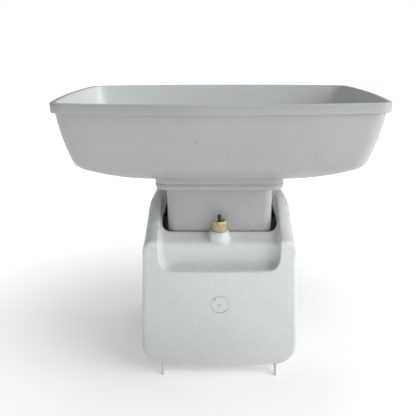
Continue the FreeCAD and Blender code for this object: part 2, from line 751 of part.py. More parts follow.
# ---- carriage -----------------------------------------------------------------------------
def make_carriage_bracket():
    """Folded steel channel that hangs in the neck and carries the rack, pins and spring."""
    half = bracket_half_x
    sheet = bracket_sheet
    top = neck_ceiling
    front = bracket_front_y
    rear = bracket_rear_y
    plates = [box(-half, half, front, rear, top - sheet, top)]
    for side in (-1.0, 1.0):
        x0 = min(side * half, side * (half - sheet))
        plates.append(box(x0, x0 + sheet, front, rear, lower_pivot_z, top))
    plates.append(box(-half, half, rear - sheet, rear, arm_z, bracket_back_top))
    cross_low = dial_z - bracket_cross_drop
    cross_high = cross_low + bracket_cross_height
    plates.append(box(-half, half, front, front + sheet, cross_low, cross_high))
    plates.append(box(-arm_half_x, arm_half_x, rear - sheet, arm_end_y, arm_z, arm_z + sheet))
    plates.append(box(-tab_half, tab_half, arm_tab_y, arm_end_y, arm_z, arm_z + tab_height))
    bracket = join(plates)
    bracket = bracket.cut(rod(eye_radius, 10.0, vec(-5.0, knob_y, arm_z + arm_eye_rise), X_AXIS))
    rivet_place = vec(pitch_radius + rack_rivet_reach, front - 2.0, dial_z - rack_rivet_drop)
    bracket = bracket.cut(rod(rivet_radius, 8.0, rivet_place, Y_AXIS))
    for z in (lower_pivot_z, upper_pivot_z):
        hole = rod(pin_radius, 2.0 * half + 4.0, vec(-half - 2.0, pin_y, z + travel / 2.0), X_AXIS)
        bracket = bracket.cut(hole)
    for x in (-bracket_screw_x, bracket_screw_x):
        bracket = bracket.cut(rod(short_shank, 6.0, vec(x, bracket_screw_y, top - 4.0), Z_AXIS))
    return bracket


def make_bracket_screws():
    screws = []
    seat_z = neck_ceiling - bracket_sheet
    for x in (-bracket_screw_x, bracket_screw_x):
        screws.append(screw(x, bracket_screw_y, seat_z, Z_AXIS, 1.9, shank=short_shank))
    return Part.makeCompound(screws)


def make_rack_rivet():
    x = pitch_radius + rack_rivet_reach
    z = dial_z - rack_rivet_drop
    start = bracket_front_y - 2.0
    grip = 2.0 + bracket_sheet
    shank = rod(rivet_radius, grip, vec(x, start, z), Y_AXIS)
    head = rod(rivet_head, 1.0, vec(x, start - 1.0, z), Y_AXIS)
    tail = rod(rivet_tail, 0.8, vec(x, start + grip, z), Y_AXIS)
    return join([shank, head, tail])


def make_carriage_pins():
    half = lever_half_x + pin_overhang
    pins = []
    for z in (lower_pivot_z, upper_pivot_z):
        pins.append(rod(pin_radius, 2.0 * half, vec(-half, pin_y, z + travel / 2.0), X_AXIS))
    return Part.makeCompound(pins)


def make_lever(pivot_z):
    """Two arms and a web, drawn level and then tilted up by the rest angle."""
    half = lever_half_x
    wide = lever_half_width
    tip_y = pivot_y + lever_length
    plates = []
    for side in (-1.0, 1.0):
        x0 = min(side * half, side * (half - lever_sheet))
        plates.append(box(x0, x0 + lever_sheet, pivot_y, tip_y, pivot_z - wide, pivot_z + wide))
        for y in (pivot_y, tip_y):
            plates.append(rod(wide, lever_sheet, vec(x0, y, pivot_z), X_AXIS))
    plates.append(box(-half, half, pivot_y + lever_web[0], pivot_y + lever_web[1],
                      pivot_z + wide - lever_sheet, pivot_z + wide))
    lever = join(plates)
    hole = rod(pin_radius + running_gap, 2.0 * half + 4.0, vec(-half - 2.0, pivot_y, pivot_z), X_AXIS)
    lever = lever.cut(hole)
    slot = pin_radius + 0.15
    for y in (tip_y - lever_slot_reach, tip_y + lever_slot_reach):
        lever = lever.cut(rod(slot, 2.0 * half + 4.0, vec(-half - 2.0, y, pivot_z), X_AXIS))
    lever = lever.cut(box(-half - 2.0, half + 2.0, tip_y - lever_slot_reach, tip_y + lever_slot_reach,
                          pivot_z - slot, pivot_z + slot))
    lever.rotate(vec(0, pivot_y, pivot_z), X_AXIS, math.degrees(tilt))
    return lever


# ---- zero adjustment and main spring ------------------------------------------------------
def make_zero_knob():
    body = rod(knob_radius, knob_height, vec(0, knob_y, boss_top), Z_AXIS)
    well = rod(knob_well_radius, knob_well_depth + 1.0,
               vec(0, knob_y, boss_top + knob_height - knob_well_depth), Z_AXIS)
    body = body.cut(well)
    grooves = []
    for k in range(groove_count):
        angle = 2.0 * math.pi * k / groove_count
        x = knob_radius * math.cos(angle)
        y = knob_y + knob_radius * math.sin(angle)
        grooves.append(rod(groove_radius, knob_height + 2.0, vec(x, y, boss_top - 1.0), Z_AXIS))
    body = body.cut(Part.makeCompound(grooves))
    return body.cut(rod(screw_radius + running_gap, 20.0, vec(0, knob_y, boss_top - 2.0), Z_AXIS))


def make_zero_screw():
    shank = rod(screw_radius, screw_top - screw_bottom, vec(0, knob_y, screw_bottom), Z_AXIS)
    tab = box(-tab_half, tab_half, knob_y - 3.0, knob_y + 2.4, eye_z - 3.5, screw_bottom + 1.0)
    return join([shank, tab]).cut(rod(eye_radius, 10.0, vec(-5.0, knob_y, eye_z), X_AXIS))


def make_main_spring():
    """Extension spring: open coil between two upright end rings."""
    low_ring_z = arm_z + arm_eye_rise + spring_ring
    high_ring_z = eye_z - spring_ring
    coil_low = low_ring_z + spring_ring
    coil_high = high_ring_z - spring_ring
    coil_length = coil_high - coil_low
    helix = Part.makeHelix(coil_length / spring_turns, coil_length, spring_coil)
    section = Part.Wire([Part.Circle(vec(spring_coil, 0, 0), Y_AXIS, spring_wire).toShape()])
    coil = Part.Wire(helix.Edges).makePipeShell([section], True, True)
    coil.translate(vec(0, knob_y, coil_low))
    spring = coil
    for ring_z, end_z in ((low_ring_z, coil_low), (high_ring_z, coil_high)):
        ring = Part.makeTorus(spring_ring, spring_wire, vec(0, knob_y, ring_z), Y_AXIS)
        leg = rod(spring_wire + 0.1, spring_coil + 0.4, vec(-0.2, knob_y, end_z), X_AXIS)
        spring = spring.fuse(ring.fuse(leg))
    return spring


# ---- all parts ----------------------------------------------------------------------------
def main():
    os.makedirs("parts", exist_ok=True)
    save("pan", make_pan())
    save("platform", make_platform())
    save("neck_sleeve", make_neck())
    save("platform_screws", make_platform_screws())
    save("rear_housing", make_rear_housing())
    save("front_cover", make_front_cover())
    save("cover_screws", make_cover_screws())
    save("window_bezel", make_bezel())
    save("dial_window", make_window())
    save("rear_feet", make_rear_feet())
    save("front_feet", make_front_feet())
    save("frame_bracket", make_frame())
    save("frame_screws", make_frame_screws())
    save("pivot_pins", make_pivot_pins())
    save("bearing_bracket", make_bearing_bracket())
    save("bearing_rivet", make_bearing_rivets())
    save("front_bush", make_bush(front_bush_radius, 4.6, frame_front_y, frame_sheet))
    save("rear_bush", make_bush(rear_bush_radius, 3.6, bearing_y, bearing_sheet))
    save("dial_posts", make_dial_posts())
    save("dial_plate", make_dial_plate())
    save("dial_screws", make_dial_screws())
    save("pointer_shaft", make_pointer_shaft())
    save("pointer", make_pointer())
    save("pointer_hub", make_pointer_hub())
    save("pinion", make_pinion())
    save("rack", make_rack())
    save("rack_rivet", make_rack_rivet())
    save("carriage_bracket", make_carriage_bracket())
    save("bracket_screws", make_bracket_screws())
    save("carriage_pins", make_carriage_pins())
    save("upper_lever", make_lever(upper_pivot_z))
    save("lower_lever", make_lever(lower_pivot_z))
    save("zero_knob", make_zero_knob())
    save("zero_screw", make_zero_screw())
    save("main_spring", make_main_spring())


main()
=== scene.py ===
import math

import bmesh
import bpy
import numpy as np
from mathutils import Matrix, Vector


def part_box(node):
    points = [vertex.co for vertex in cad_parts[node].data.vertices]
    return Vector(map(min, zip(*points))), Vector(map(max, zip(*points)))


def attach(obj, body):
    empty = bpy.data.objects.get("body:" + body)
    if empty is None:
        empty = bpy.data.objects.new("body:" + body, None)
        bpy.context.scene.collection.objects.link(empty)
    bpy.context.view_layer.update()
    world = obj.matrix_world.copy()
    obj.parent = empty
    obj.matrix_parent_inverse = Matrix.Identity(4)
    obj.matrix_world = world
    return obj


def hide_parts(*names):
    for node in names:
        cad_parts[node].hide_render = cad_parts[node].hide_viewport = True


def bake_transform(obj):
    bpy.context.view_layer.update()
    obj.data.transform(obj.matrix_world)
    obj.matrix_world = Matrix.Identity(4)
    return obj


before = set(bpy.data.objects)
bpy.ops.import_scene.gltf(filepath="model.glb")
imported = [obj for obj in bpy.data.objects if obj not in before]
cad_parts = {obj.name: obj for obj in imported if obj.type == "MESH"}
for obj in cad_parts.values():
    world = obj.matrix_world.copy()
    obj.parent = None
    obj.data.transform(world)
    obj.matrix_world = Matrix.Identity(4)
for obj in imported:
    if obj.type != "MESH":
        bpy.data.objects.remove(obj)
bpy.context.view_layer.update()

# Lengths are millimetres in the named values and in the shape functions, and become metres
# in the meshes. The dial looks along -Y and the zero knob is on the +Y side.
MM = 0.001
weld_distance = 1e-7      # metres


# ---- places from the frame ----
def box_mm(node):
    low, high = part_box(node)
    return np.array(low) / MM, np.array(high) / MM


def centre_mm(node):
    low, high = box_mm(node)
    return 0.5 * (low + high)


pan_low, pan_high = box_mm("pan")
lip_low, lip_high = box_mm("platform")
neck_low, neck_high = box_mm("neck_sleeve")
house_low, house_high = box_mm("rear_housing")
cover_low, cover_high = box_mm("front_cover")
knob_low, knob_high = box_mm("zero_knob")
screw_low, screw_high = box_mm("zero_screw")
knob_y = centre_mm("zero_knob")[1]
dial_centre = centre_mm("dial_plate")
rim_z = pan_high[2]


# ---- mesh helpers ----
def to_scene(name, data):
    """A new object with this mesh, curve, light or camera, in the scene."""
    thing = bpy.data.objects.new(name, data)
    bpy.context.scene.collection.objects.link(thing)
    return thing


def add_piece(name, points_mm, faces, body, nodes=(), smooth=True):
    """A mesh object from points in mm; with no body, it is left unattached."""
    mesh = bpy.data.meshes.new(name)
    mesh.from_pydata([tuple(p) for p in np.asarray(points_mm) * MM], [], faces)
    mesh.validate()
    mesh.update()
    for polygon in mesh.polygons:
        polygon.use_smooth = smooth
    piece = to_scene(name, mesh)
    if body:
        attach(piece, body)
    if nodes:
        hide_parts(*nodes)
    return piece


def weld(mesh):
    """Joins the points that share a place, and turns every face outwards."""
    work = bmesh.new()
    work.from_mesh(mesh)
    bmesh.ops.remove_doubles(work, verts=work.verts, dist=weld_distance)
    bmesh.ops.recalc_face_normals(work, faces=work.faces)
    work.to_mesh(mesh)
    work.free()


def outward(piece):
    """Turns every face of a closed mesh outwards."""
    work = bmesh.new()
    work.from_mesh(piece.data)
    bmesh.ops.recalc_face_normals(work, faces=work.faces)
    work.to_mesh(piece.data)
    work.free()


def sharpen(piece, degrees):
    """Keeps edges that turn more than this sharp."""
    work = bmesh.new()
    work.from_mesh(piece.data)
    limit = math.radians(degrees)
    for edge in work.edges:
        if len(edge.link_faces) == 2:
            edge.smooth = edge.calc_face_angle() < limit
    work.to_mesh(piece.data)
    work.free()


def rings_to_mesh(rings, close_ends=True):
    """Points and faces of a skin over rings that all have the same number of points."""
    count = len(rings[0])
    points = np.concatenate(rings)
    faces = []
    for r in range(len(rings) - 1):
        a = r * count
        b = a + count
        for k in range(count):
            n = (k + 1) % count
            faces.append((a + k, a + n, b + n, b + k))
    if close_ends:
        faces.append(tuple(range(count - 1, -1, -1)))
        last = (len(rings) - 1) * count
        faces.append(tuple(range(last, last + count)))
    return points, faces


def skinned(name, rings, body, node, angle=None, close_ends=True, smooth=True):
    """A piece skinned over rings with its faces outwards; edges past the angle stay sharp."""
    points, faces = rings_to_mesh(rings, close_ends)
    piece = add_piece(name, points, faces, body, [node], smooth)
    outward(piece)
    if angle:
        sharpen(piece, angle)
    return piece


def lathe(profile, centre, axis, count=96):
    """Rings of a turned shape; profile is (radius, height) along the axis, both in mm."""
    angles = np.linspace(0.0, 2.0 * math.pi, count, endpoint=False)
    rings = []
    for radius, height in profile:
        u = radius * np.cos(angles)
        v = radius * np.sin(angles)
        w = np.full(count, float(height))
        if axis == "z":
            ring = np.stack([u, v, w], 1)
        else:
            ring = np.stack([u, w, v], 1)
        rings.append(ring + np.asarray(centre))
    return rings


def closed_lathe(name, profile, centre, axis, body, nodes=(), count=96, angle=40.0):
    """A turned ring whose profile is a closed loop."""
    rings = lathe(list(profile) + [profile[0]], centre, axis, count)
    points, faces = rings_to_mesh(rings, False)
    piece = add_piece(name, points, faces, body, nodes)
    weld(piece.data)
    sharpen(piece, angle)
    return piece


def arc_points(cx, cy, radius, start, end, steps):
    """Points of an arc in the (radius, height) plane; angles in degrees."""
    result = []
    for k in range(steps + 1):
        angle = math.radians(start + (end - start) * k / steps)
        result.append((cx + radius * math.cos(angle), cy + radius * math.sin(angle)))
    return result


def cut(piece, cutter):
    """Takes the cutter's space out of the piece and removes the cutter."""
    modifier = piece.modifiers.new("cut", "BOOLEAN")
    modifier.object = cutter
    modifier.operation = "DIFFERENCE"
    modifier.solver = "EXACT"
    apply_modifiers(piece)
    bpy.data.objects.remove(cutter, do_unlink=True)


def apply_modifiers(piece):
    graph = bpy.context.evaluated_depsgraph_get()
    made = bpy.data.meshes.new_from_object(piece.evaluated_get(graph))
    piece.modifiers.clear()
    old = piece.data
    piece.data = made
    bpy.data.meshes.remove(old)


def ring_cutter(outer, inner, y0, y1, centre, count=72):
    """A loose tube along Y, or a solid disc where inner is nothing."""
    if inner:
        profile = [(outer, y0), (outer, y1), (inner, y1), (inner, y0), (outer, y0)]
        points, faces = rings_to_mesh(lathe(profile, centre, "y", count), False)
    else:
        points, faces = rings_to_mesh(lathe([(outer, y0), (outer, y1)], centre, "y", count), True)
    mesh = bpy.data.meshes.new("cutter")
    mesh.from_pydata([tuple(p) for p in points * MM], [], faces)
    weld(mesh)
    return to_scene("cutter", mesh)


# ---- distance fields for the moulded housing ----
def round_and(a, b, radius):
    """Both solids at once, with a convex edge of this radius."""
    u = np.maximum(a + radius, 0.0)
    v = np.maximum(b + radius, 0.0)
    return np.minimum(-radius, np.maximum(a, b)) + np.sqrt(u * u + v * v)


def round_or(a, b, radius):
    """Either solid, with a concave fillet of this radius."""
    u = np.maximum(radius - a, 0.0)
    v = np.maximum(radius - b, 0.0)
    return np.maximum(radius, np.minimum(a, b)) - np.sqrt(u * u + v * v)


def smooth_step(value, low, high):
    t = np.clip((value - low) / (high - low), 0.0, 1.0)
    return t * t * (3.0 - 2.0 * t)


def surface_mesh(field, low, high, step):
    """Closed quad mesh where the field is zero; each point is then moved onto the surface."""
    axes = [np.arange(low[i], high[i] + step, step) for i in range(3)]
    grid = np.meshgrid(*axes, indexing="ij")
    value = field(*grid)
    inside = value < 0.0
    cells = np.zeros([n - 1 for n in value.shape], dtype=np.int8)
    corners = [(i, j, k) for i in (0, 1) for j in (0, 1) for k in (0, 1)]
    nx, ny, nz = cells.shape
    for i, j, k in corners:
        cells += inside[i:nx + i, j:ny + j, k:nz + k]
    active = np.argwhere((cells > 0) & (cells < 8))
    number = np.full(cells.shape, -1, dtype=np.int64)
    number[active[:, 0], active[:, 1], active[:, 2]] = np.arange(len(active))
    total = np.zeros((len(active), 3))
    hits = np.zeros(len(active))
    for a in corners:
        for axis in range(3):
            if a[axis]:
                continue
            b = tuple(a[n] + (1 if n == axis else 0) for n in range(3))
            va = value[active[:, 0] + a[0], active[:, 1] + a[1], active[:, 2] + a[2]]
            vb = value[active[:, 0] + b[0], active[:, 1] + b[1], active[:, 2] + b[2]]
            crosses = (va < 0.0) != (vb < 0.0)
            share = np.where(crosses, va / np.where(crosses, va - vb, 1.0), 0.0)
            point = np.repeat(np.array([a], dtype=float), len(active), 0)
            point[:, axis] += share
            total += point * crosses[:, None]
            hits += crosses
    points = (active + total / hits[:, None]) * step + np.asarray(low, dtype=float)
    faces = []
    for axis in range(3):
        one, two = (axis + 1) % 3, (axis + 2) % 3
        lower = [slice(1, n - 1) for n in value.shape]
        upper = list(lower)
        lower[axis] = slice(0, value.shape[axis] - 1)
        upper[axis] = slice(1, value.shape[axis])
        start = inside[tuple(lower)]
        end = inside[tuple(upper)]
        for found, flip in ((start & ~end, False), (~start & end, True)):
            place = np.argwhere(found)
            place[:, one] += 1
            place[:, two] += 1
            around = []
            for s, t in ((0, 0), (1, 0), (1, 1), (0, 1)):
                cell = place.copy()
                cell[:, one] -= 1 - s
                cell[:, two] -= 1 - t
                around.append(number[cell[:, 0], cell[:, 1], cell[:, 2]])
            quad = np.stack(around, 1)
            faces.append(quad[:, ::-1] if flip else quad)
    faces = np.concatenate(faces)
    for _ in range(4):
        points = pull_to_surface(field, points, 0.6 * step)
    return points, faces


def pull_to_surface(field, points, limit):
    gap = 0.02
    x, y, z = points.T
    here = field(x, y, z)
    slope = np.stack([field(x + gap, y, z) - field(x - gap, y, z),
                      field(x, y + gap, z) - field(x, y - gap, z),
                      field(x, y, z + gap) - field(x, y, z - gap)], 1) / (2.0 * gap)
    length = np.maximum((slope * slope).sum(1), 0.2)
    move = -slope * (here / length)[:, None]
    size = np.sqrt((move * move).sum(1))
    move *= np.minimum(1.0, limit / np.maximum(size, 1e-9))[:, None]
    return points + move


def fine_piece(name, field, low, high, step, keep, body, nodes):
    """A piece from a distance field, thinned to the kept share of its faces."""
    points, faces = surface_mesh(field, low, high, step)
    mesh = bpy.data.meshes.new(name)
    mesh.vertices.add(len(points))
    mesh.vertices.foreach_set("co", (points * MM).astype(np.float32).ravel())
    mesh.loops.add(faces.size)
    mesh.loops.foreach_set("vertex_index", faces.astype(np.int32).ravel())
    mesh.polygons.add(len(faces))
    mesh.polygons.foreach_set("loop_start", np.arange(0, faces.size, 4, dtype=np.int32))
    mesh.update(calc_edges=True)
    mesh.validate()
    piece = to_scene(name, mesh)
    thin = piece.modifiers.new("thin", "DECIMATE")
    thin.ratio = keep
    apply_modifiers(piece)
    piece.data.polygons.foreach_set("use_smooth", np.ones(len(piece.data.polygons), dtype=bool))
    piece.data.update()
    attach(piece, body)
    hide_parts(*nodes)
    return piece


# ---- housing ----
wall = 2.5
joint_y = cover_high[1]
front_y = cover_low[1]
bottom_z = house_low[2]
side_low_x = house_high[0] - 0.1
side_top_x = 72.2
crown_z = house_high[2]
panel_y = house_high[1]
panel_edge_y = panel_y - 5.6
scoop_x = 59.5
scoop_floor = 116.0
scoop_back = 54.0
ledge_z = 148.5
ledge_y = 41.2
ledge_drop = math.radians(32.0)
hole_x = 57.0
side_squeeze = 3.2
collar_depth = 13.0
hole_y = 41.2
boss_radius = 9.3
boss_depth = 14.0
boss_top = knob_low[2]
kept_faces = 0.35          # share of the fine mesh's faces that stays
ring_mark_z = 81.8
window_hole = 55.0
cover_screw_x = 62.0
cover_screw_zs = (40.0, 150.0)


def house_sides(x, z):
    """Below zero between the bulging side walls."""
    share = (z - 34.0) / 134.0
    half = side_low_x + (side_top_x - side_low_x) * share + 1.4 * share * (1.0 - share)
    return np.abs(x) - half


def house_top(y, z):
    """Below zero under the arched top: flat over the middle, then down to the rear panel."""
    fall = smooth_step(y, 2.0, 46.0) * 17.5
    tail = 0.47 * np.maximum(y - 40.0, 0.0)
    front = 0.0011 * np.minimum(y + 8.0, 0.0) ** 2
    height = crown_z - fall - tail - front
    slope = np.clip((y - 2.0) / 44.0, 0.0, 1.0)
    lean = np.sqrt(1.0 + (0.62 * np.sin(math.pi * np.clip(slope, 0.0, 0.62))) ** 2)
    return (z - height) / lean


def house_back(x, y, z):
    """Below zero in front of the crowned rear panel."""
    crown = (panel_y - panel_edge_y) * (x / side_low_x) ** 2
    lean = 0.5 * ((z - 75.0) / 70.0) ** 2
    return y - (panel_y - crown - lean)


def house_section(x, y, z):
    """Sides, bottom and arched top with their large rounds."""
    arch = round_and(house_sides(x, z), house_top(y, z), 12.0)
    return round_and(arch, bottom_z - z, 20.0)


def outer_house(x, y, z):
    edge = 4.0 - 2.2 * smooth_step(z, 120.0, 138.0)
    return round_and(house_section(x, y, z), house_back(x, y, z), edge)


def scoop_solid(x, y, z):
    """What stays solid inside the scoop's outline: ledge, back wall, floor and cheeks."""
    lean = np.cos(ledge_drop)
    ledge = (z - (ledge_z - (y - ledge_y) * math.tan(ledge_drop))) * lean
    step = round_and(ledge, y - scoop_back, 2.2)
    floor = (z - scoop_floor) - 0.05 * (y - 60.0)
    draft = 0.03 * (z - 130.0)
    cheek = (scoop_x + draft) - np.abs(x)
    low = round_or(floor, cheek, 13.0)
    high = round_or(step, cheek, 5.0)
    return round_or(low, high, 6.5)


def boss_solid(x, y, z):
    flat = np.sqrt(x * x + (y - knob_y) ** 2) - boss_radius
    top = round_and(flat, z - boss_top, 2.4)
    return round_and(top, (boss_top - boss_depth) - z, 8.0)


def neck_hole(x, y):
    """Outline of the opening around the neck: close at the sides, wider at the rear corners."""
    corner = 9.0
    half = hole_x - side_squeeze * (1.0 - smooth_step(y, 6.0, 30.0))
    u = np.maximum(np.abs(x) - (half - corner), 0.0)
    v = np.maximum(np.abs(y) - (hole_y - corner), 0.0)
    inner = np.minimum(np.maximum(np.abs(x) - half + corner, np.abs(y) - hole_y + corner), 0.0)
    return np.sqrt(u * u + v * v) + inner - corner


def moulded_form(x, y, z):
    """The housing as if it were solid, before the wall is left and the holes are made."""
    form = round_and(outer_house(x, y, z), scoop_solid(x, y, z), 1.2)
    return round_or(form, boss_solid(x, y, z), 2.6)


def rear_shell(x, y, z):
    form = moulded_form(x, y, z)
    shell = np.maximum(form, -(form + wall))
    edge = neck_hole(x, y)
    depth = collar_depth * smooth_step(-y, -24.0, -8.0)
    collar = np.maximum(np.maximum(form, edge - 2.2), -(form + depth))
    shell = round_and(np.minimum(shell, collar), -edge, 0.8)
    return round_and(shell, joint_y + 0.15 - y, 0.6)


def make_housing():
    low = house_low - 3.0
    low[1] = joint_y - 2.0
    piece = fine_piece("housing_shell", rear_shell, low, house_high + 3.0, house_step, kept_faces,
                       "housing", ["rear_housing"])
    mark = (0.0, 0.0, ring_mark_z)
    cut(piece, ring_cutter(9.05, 8.65, panel_y - 0.35, panel_y + 2.0, mark))
    cut(piece, ring_cutter(1.1, 0.0, panel_y - 0.45, panel_y + 2.0, mark, 24))
    cut(piece, ring_cutter(0.45, 0.0, panel_y - 0.9, panel_y + 2.0, (1.6, 0.0, ring_mark_z), 16))
    return piece


def cover_field(x, y, z):
    form = round_and(house_section(x, y, z), front_y - y, 5.0)
    hollow = np.maximum(form + wall, front_y + wall - y)
    shell = np.maximum(form, -hollow)
    shell = round_and(shell, y - (joint_y - 0.15), 0.6)
    window = window_hole - np.sqrt(x * x + (z - dial_centre[2]) ** 2)
    return round_and(shell, window, 0.6)


def make_front_cover():
    piece = fine_piece("front_panel", cover_field, cover_low - 2.0, cover_high + 3.0, house_step, kept_faces,
                       "housing", ["front_cover"])
    for x in (-cover_screw_x, cover_screw_x):
        for z in cover_screw_zs:
            cut(piece, ring_cutter(3.3, 0.0, front_y - 3.0, front_y + 2.2, (x, 0.0, z), 32))
    return piece


# ---- pan ----
bow_long = 13.0
bow_short = 6.0
rim_height = 8.5
rim_proud = 2.3
pan_wall = 2.5
bend_z = rim_z - 59.0
bend_x = 136.0
bend_y = 82.0
floor_z = rim_z - 75.0
foot_x = lip_high[0]
foot_y = lip_high[1]
foot_corner = 14.0
foot_gap = 2.1             # from the platform's top down to the pan foot's base


def bowed_ring(half_x, half_y, short, long, corner, z, side_count=28, corner_count=14):
    """Closed ring of four bowed sides and four round corners, counter-clockwise."""
    cx = half_x - short
    cy = half_y - long
    end_x = cx - corner
    end_y = cy - corner
    quarter = []
    for k in range(side_count // 2 + 1):
        y = end_y * k / (side_count // 2)
        quarter.append((half_x - short * (y / cy) ** 2, y))
    p0 = np.array([half_x - short * (end_y / cy) ** 2, end_y])
    p3 = np.array([end_x, half_y - long * (end_x / cx) ** 2])
    t0 = np.array([-2.0 * short * end_y / cy ** 2, 1.0])
    t3 = np.array([1.0, -2.0 * long * end_x / cx ** 2])
    reach = 0.56 * 0.72 * np.linalg.norm(p3 - p0)
    p1 = p0 + t0 / np.linalg.norm(t0) * reach
    p2 = p3 + t3 / np.linalg.norm(t3) * reach
    for k in range(1, corner_count):
        t = k / corner_count
        s = 1.0 - t
        p = s ** 3 * p0 + 3 * s * s * t * p1 + 3 * s * t * t * p2 + t ** 3 * p3
        quarter.append(tuple(p))
    for k in range(side_count + 1):
        x = end_x * (1.0 - k / side_count)
        quarter.append((x, half_y - long * (x / cx) ** 2))
    quarter = np.array(quarter)
    mirrored_x = (quarter * (-1, 1))[::-1]
    opposite = quarter * (-1, -1)
    mirrored_y = (quarter * (1, -1))[::-1]
    loop = np.concatenate([quarter[:-1], mirrored_x[:-1], opposite[:-1], mirrored_y[:-1]])
    return np.column_stack([loop, np.full(len(loop), float(z))])


def bowl_size(step):
    """Half sizes, bow share, corner and height of the bowl; 0 rim, 1 bend, 2 floor."""
    if step <= 1.0:
        bulge = 1.9 * math.sin(math.pi * step)
        top_x = pan_high[0] - rim_proud
        top_y = pan_high[1] - rim_proud
        return (top_x + (bend_x - top_x) * step + bulge, top_y + (bend_y - top_y) * step + bulge,
                1.0 - 0.25 * step, 12.0 + 4.0 * step, rim_z + (bend_z - rim_z) * step)
    run = step - 1.0
    half_x = bend_x + (foot_x - 4.0 - bend_x) * run ** 1.15
    half_y = bend_y + (foot_y - 4.0 - bend_y) * run ** 1.15
    drop = math.sin(0.5 * math.pi * run)
    return half_x, half_y, 0.75 - 0.6 * run, 16.0, bend_z + (floor_z - bend_z) * drop


def bowl_ring(step, inset):
    """Ring of the bowl's skin, blended across the bend so that it turns over a few mm."""
    spread = 0.085
    total = np.zeros(5)
    for offset, weight in ((-spread, 1.0), (0.0, 2.0), (spread, 1.0)):
        near = min(max(step + offset, 0.0), 2.0) if 0.2 < step < 1.8 else step
        total += weight * np.array(bowl_size(near))
    half_x, half_y, bow, corner, z = total / 4.0
    lift = inset * min(1.0, max(0.0, step - 0.9) / 0.6)
    shrink = inset * (1.0 - 0.6 * min(1.0, max(0.0, step - 1.0)))
    return bowed_ring(half_x - shrink, half_y - shrink, bow_short * bow, bow_long * bow,
                      corner - 0.4 * inset, z + lift)


def rim_ring(inset, z):
    return bowed_ring(pan_high[0] - inset, pan_high[1] - inset, bow_short, bow_long,
                      13.0 - 0.4 * inset, z)


def make_pan():
    band_bottom = rim_z - rim_height
    rings = []
    for step in np.linspace(2.0, 0.19, 44):
        rings.append(bowl_ring(step, 0.0))
    rings.append(bowl_ring((rim_height + 0.3) / (rim_z - bend_z), 0.0))
    rings.append(bowl_ring((rim_height - 0.5) / (rim_z - bend_z), 0.35))
    rings.append(bowl_ring((rim_height - 0.8) / (rim_z - bend_z), -0.3))
    rings.append(rim_ring(1.0, band_bottom + 0.5))
    rings.append(rim_ring(0.8, band_bottom))
    for inset, rise in arc_points(0.0, 0.0, 0.7, -90.0, 0.0, 4):
        rings.append(rim_ring(0.7 - inset, band_bottom + 0.7 + rise))
    rings.append(rim_ring(0.0, rim_z - 4.0))
    for inset, rise in arc_points(0.0, 0.0, 1.1, 0.0, 90.0, 5):
        rings.append(rim_ring(1.1 - inset, rim_z - 1.1 + rise))
    inner_inset = rim_proud + pan_wall
    for inset, rise in arc_points(0.0, 0.0, 0.9, 90.0, 180.0, 4):
        rings.append(rim_ring(inner_inset - 0.9 - inset, rim_z - 0.9 + rise))
    for step in np.linspace(0.06, 2.0, 46):
        rings.append(bowl_ring(step, pan_wall))
    return skinned("pan_bowl", rings, "pan", "pan")


def block_ring(half_x, half_y, corner, z, corner_count=10):
    """Closed ring of a rectangle with round corners."""
    loop = []
    for quadrant, (sx, sy) in enumerate(((1, 1), (-1, 1), (-1, -1), (1, -1))):
        for k in range(corner_count + 1):
            angle = math.radians(90.0 * (quadrant + k / corner_count))
            loop.append((sx * (half_x - corner) + corner * math.cos(angle),
                         sy * (half_y - corner) + corner * math.sin(angle), z))
    return np.array(loop)


def block_rings(half_x, half_y, corner, profile):
    """Rings for a rounded block; profile is (inset, z)."""
    return [block_ring(half_x - inset, half_y - inset, max(corner - inset, 0.5), z)
            for inset, z in profile]


def make_pan_foot():
    """The skirt under the pan's floor that stands on the platform."""
    base = lip_high[2] - foot_gap
    profile = [(3.0, floor_z + 0.5), (3.0, base + 0.3), (2.6, base), (0.25, base), (0.0, base + 0.25),
               (0.0, floor_z - 1.5)]
    flare = arc_points(0.0, floor_z - 1.5, 1.8, 0.0, 70.0, 4)
    profile += [(-(1.8 - r) * 1.4, z) for r, z in flare[1:]]
    profile += [(3.0, floor_z + 0.9)]
    rings = block_rings(foot_x, foot_y, foot_corner, profile + [profile[0]])
    return skinned("pan_foot", rings, "pan", "pan", 50.0, close_ends=False)


def make_platform():
    base = lip_low[2] - 0.9
    top = lip_high[2] - foot_gap
    lower = arc_points(0.0, 0.0, 3.4, -90.0, 0.0, 7)
    profile = [(3.4 - inset, base + 3.4 + rise) for inset, rise in lower]
    profile += [(0.0, top - 0.35), (0.12, top - 0.1), (0.4, top), (3.5, top), (3.5, lip_high[2] - 0.5),
                (4.0, lip_high[2]), (12.0, lip_high[2]), (12.5, base + 2.6)]
    rings = block_rings(foot_x, foot_y, foot_corner, profile)
    return skinned("platform_plate", rings, "carriage", "platform", 50.0)


def make_neck():
    low, high = neck_low[2], neck_high[2]
    half_x, half_y = neck_high[0], neck_high[1]
    levels = np.linspace(low + 1.0, high, 24)
    profile = [(wall, high - wall), (wall, low + 0.4), (wall - 0.4, low), (0.4, low), (0.0, low + 0.4)]
    profile += [(0.12 * math.sin(math.pi * (z - low) / (high - low)), z) for z in levels]
    rings = block_rings(half_x, half_y, 9.0, profile)
    return skinned("neck_tube", rings, "carriage", "neck_sleeve", 50.0)


# ---- main spring ----
spring_low, spring_high = box_mm("main_spring")
spring_wire = 0.7
spring_coil = 5.6
spring_ring = 4.0
spring_turns = 20


